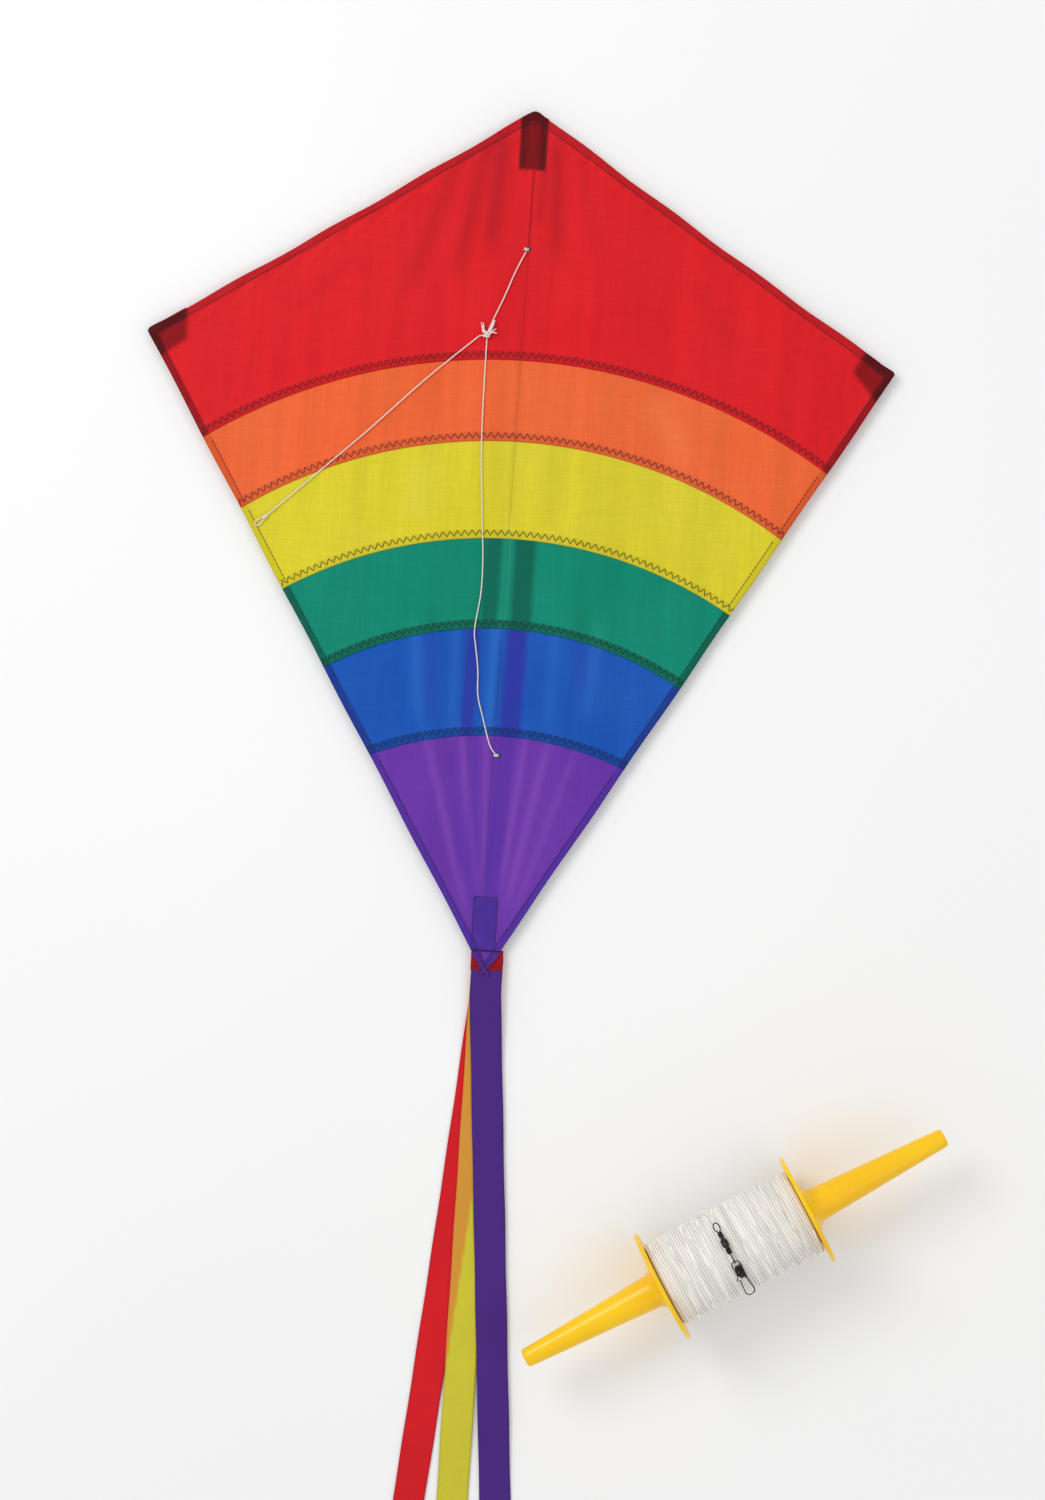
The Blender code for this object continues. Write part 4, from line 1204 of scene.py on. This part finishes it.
def make_swivel():
    """The barrel and, at each end, an eye of wire with its close wraps."""
    frame_at = chain_frame(SWIVEL_ANGLE, SWIVEL_RADIUS)
    side = BARREL_HALF
    barrel = [(0.0006, -side), (0.0013, -side), (0.0016, -0.92 * side), (0.0016, -0.82 * side)]
    barrel += [(BARREL_R * (1.0 - 0.22 * abs(m) ** 3), m * 0.78 * side) for m in np.linspace(-1.0, 1.0, 15)]
    barrel += [(0.0016, 0.82 * side), (0.0016, 0.92 * side), (0.0013, side), (0.0006, side)]
    shell = moved(turned_out(lathe(barrel, 40)), frame_at @ Matrix.Rotation(0.5 * pi, 4, "Z"))
    piece("barrel_shell", shell, METAL, "swivel", "swivel_barrel")

    start, turns = side + 0.0002, 4.2
    for name, node, sign, spread, body in (
            ("upper_eye_wire", "swivel_upper_eye", 1.0, Vector((1.0, 0.0, 0.0)), "swivel"),
            ("lower_eye_wire", "swivel_lower_eye", -1.0, UP, "swivel_eye")):
        wraps = []
        for step in range(int(turns * 16) + 1):
            turn = 2.0 * pi * step / 16
            along = start + 0.0004 + 0.0039 * step / (turns * 16)
            wraps.append(Vector((0.00145 * cos(turn), sign * along, 0.00145 * sin(turn))))
        stem = [Vector((0.0, sign * (start + end), 0.0)) for end in (0.0001, 0.0042)]
        foot = Vector((0.0, sign * (start + 0.0036), 0.0))
        loop = [foot + 0.0005 * spread]
        for step in range(25):
            turn = pi * (-0.80 + 1.60 * step / 24)
            along = sign * (0.0119 + (EYE_FAR - 0.0119) * cos(turn))
            loop.append(Vector((0.0, along, 0.0)) + 0.0021 * sin(turn) * spread)
        loop.append(foot - 0.0005 * spread)
        parts = [tube(wraps, WIRE_R, 8), tube(even_route(stem, 0.001), 0.0010, 10),
                 tube(smooth_route(loop, 0.0004), WIRE_R, 8)]
        piece(name, moved(join_parts(parts), frame_at), METAL, body, node)


def make_snap():
    """The snap: a ring in the swivel's lower eye, a folded sleeve, and the fixed and the gate leg."""
    link_radius = hypot(SWIVEL_RADIUS, LINK_Y)
    link_angle = SWIVEL_ANGLE + atan2(LINK_Y, SWIVEL_RADIUS)
    frame_at = chain_frame(link_angle + acos(SNAP_RADIUS / link_radius), SNAP_RADIUS)
    top = sqrt(link_radius ** 2 - SNAP_RADIUS ** 2)
    sleeve_top = top - SLEEVE_START
    sleeve_low = sleeve_top - SLEEVE_LENGTH
    turn = SNAP_HALF - WIRE_R
    bow_height = top - SNAP_LENGTH + turn

    def bow(radius, height, angles):
        return [Vector((radius * cos(radians(a)), height + radius * sin(radians(a)), 0.0)) for a in angles]

    def wire(name, path, body, node):
        piece(name, moved(tube(path, WIRE_R, 9), frame_at), METAL, body, node)

    ring = [Vector((-0.0031, sleeve_top - 0.0006, 0.0))]
    ring += bow(RING_HALF, top - RING_HALF, range(180, -1, -12))
    wire("snap_ring_wire", ring + [Vector((0.0030, sleeve_top - 0.0006, 0.0))], "snap", "snap_ring")
    # The sleeve's section, from its open flat side round the folded edge
    section = [(-0.0030, -0.00070), (0.0022, -0.00085)]
    for step in range(13):
        fold = radians(250.0 - 320.0 * step / 12)
        section.append((0.0024 + 0.00085 * cos(fold), 0.00085 * sin(fold)))
    outer = []
    for along in np.linspace(sleeve_low, sleeve_top, 12):
        mix = (along - sleeve_low) / (sleeve_top - sleeve_low)
        left = -0.0030 + 0.0022 * smoothstep(0.35, 0.0, mix) + 0.0012 * smoothstep(0.8, 1.0, mix)
        outer += [Vector((max(x, left) + 0.0004 * (mix - 0.5), along, z)) for x, z in section]
    inner = [Vector((point.x, point.y, point.z - 0.00016)) if index % len(section) < 2
             else Vector((0.0024 + (point.x - 0.0024) * 0.78, point.y, point.z * 0.78))
             for index, point in enumerate(outer)]
    hook = [Vector((-0.0030, sleeve_low + 0.0035, -0.0002)), Vector((-0.0036, sleeve_low + 0.0030, 0.0008)),
            Vector((-0.0042, sleeve_low + 0.0016, 0.0010)), Vector((-0.0045, sleeve_low + 0.0004, 0.0006))]
    parts = [slab(outer, inner, len(section) - 1), tube(smooth_route(hook, 0.0004), 0.00040, 8)]
    made = piece("snap_sleeve_sheet", moved(join_parts(parts), frame_at), METAL,
                 "snap", "snap_sleeve")
    made.data.set_sharp_from_angle(angle=radians(40.0))

    right = [Vector((0.0024, sleeve_low + 0.0008, 0.0))] + bow(turn, bow_height, range(0, -86, -9))
    wire("snap_leg_wire", smooth_route(right, 0.0005), "snap", "snap_leg")
    gate = bow(turn, bow_height, range(-90, -181, -9)) + [Vector((-0.82 * turn, sleeve_low - 0.0003, 0.0))]
    wire("snap_gate_wire", smooth_route(gate, 0.0005), "gate", "snap_gate")


def make_line_end():
    """The free end of the flying line, rising from the winding to the swivel's upper eye."""
    eye_radius = hypot(SWIVEL_RADIUS, EYE_FAR)
    eye_angle = SWIVEL_ANGLE - atan2(EYE_FAR, SWIVEL_RADIUS)
    start_angle = radians(-112.0)
    route = []
    count = 9
    for step in range(count + 1):
        mix = step / count
        angle = start_angle + (eye_angle - radians(2.4) - start_angle) * mix
        rise = WINDING_R + 0.0009 + (eye_radius + 0.0002 - WINDING_R - 0.0009) * mix ** 1.6
        route.append(AXIS @ round_winding(angle, rise, CHAIN_A - 0.012 * (1.0 - mix) ** 1.5))
    path = even_route(smooth_route(route, 0.002), 0.0025)
    cord_piece("flying_line_end", path, 0.00045, (0.003, 0.0005), FLYING_LINE, "winder",
               "line_end")


# ---------------------------------------------------------------- camera and light

PICTURE_HEIGHT = 1.05
PICTURE_CENTRE = (0.0175, -0.2785)
CAMERA_HEIGHT = 2.1
KITE_LEAN = radians(3.44)
FLOOR_HALF = 16.0
FLOOR_Z = -0.0004
LAMP_AIM = Vector((0.03, -0.28, 0.0))
LAMPS = (("key", (-1.5, 0.9, 2.0), 26.0, 1.2), ("fill", (1.6, -0.9, 2.4), 7.0, 2.2))


def make_stage():
    """Camera above the kite, a plain pale floor, an even white sky and two soft lamps."""
    camera = bpy.data.objects.new("camera", bpy.data.cameras.new("camera"))
    bpy.context.scene.collection.objects.link(camera)
    camera.data.sensor_fit = "VERTICAL"
    camera.data.sensor_height = 36.0
    camera.data.lens = 36.0 * CAMERA_HEIGHT / PICTURE_HEIGHT
    camera.location = (*PICTURE_CENTRE, CAMERA_HEIGHT + EDGE_Z)
    camera.rotation_euler = (0.0, 0.0, KITE_LEAN)
    bpy.context.scene.camera = camera

    data = bpy.data.meshes.new("floor")
    data.from_pydata([(FLOOR_HALF * x, FLOOR_HALF * y, FLOOR_Z) for x, y in
                      ((-1, -1), (1, -1), (1, 1), (-1, 1))], [], [(0, 1, 2, 3)])
    nodes = Nodes("studio_floor")
    soft = nodes.between(nodes.noise(1.5, 2.0), 0.3, 0.7, 0.0, 1.0)
    data.materials.append(nodes.finish(nodes.mix(soft, (0.90, 0.90, 0.90), (0.92, 0.92, 0.92)), 0.9))
    floor = bpy.data.objects.new("floor", data)
    bpy.context.scene.collection.objects.link(floor)

    world = bpy.data.worlds.new("studio")
    world.use_nodes = True
    world.node_tree.nodes["Background"].inputs["Color"].default_value = (1.0, 1.0, 1.0, 1.0)
    world.node_tree.nodes["Background"].inputs["Strength"].default_value = 0.74
    bpy.context.scene.world = world
    bpy.context.scene.view_settings.view_transform = "Standard"
    for name, place, power, width in LAMPS:
        lamp = bpy.data.lights.new(name, "AREA")
        lamp.energy = power
        lamp.size = width
        shown = bpy.data.objects.new(name, lamp)
        shown.location = place
        shown.rotation_euler = (LAMP_AIM - Vector(place)).to_track_quat("-Z", "Y").to_euler()
        bpy.context.scene.collection.objects.link(shown)


def dress_cad():
    """The CAD nodes that keep their shape: rods, caps and the moulded cross."""
    for material, names in (
            (RODS, ("spine", "cross_spar")),
            (VINYL, ("cross_connector", "nose_end_cap", "tail_end_cap", "left_end_cap", "right_end_cap"))):
        for name in names:
            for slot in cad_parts[name].material_slots:
                slot.material = material


make_stage()
make_bridle()
make_line_end()
for band_order in range(len(BAND_NAMES)):
    make_band(band_order)
make_thread()
make_eyelets()
make_pockets()
for ribbon in RIBBONS:
    make_ribbon(*ribbon)
make_tail_root()
make_winder()
make_winding()
make_swivel()
make_snap()
dress_cad()
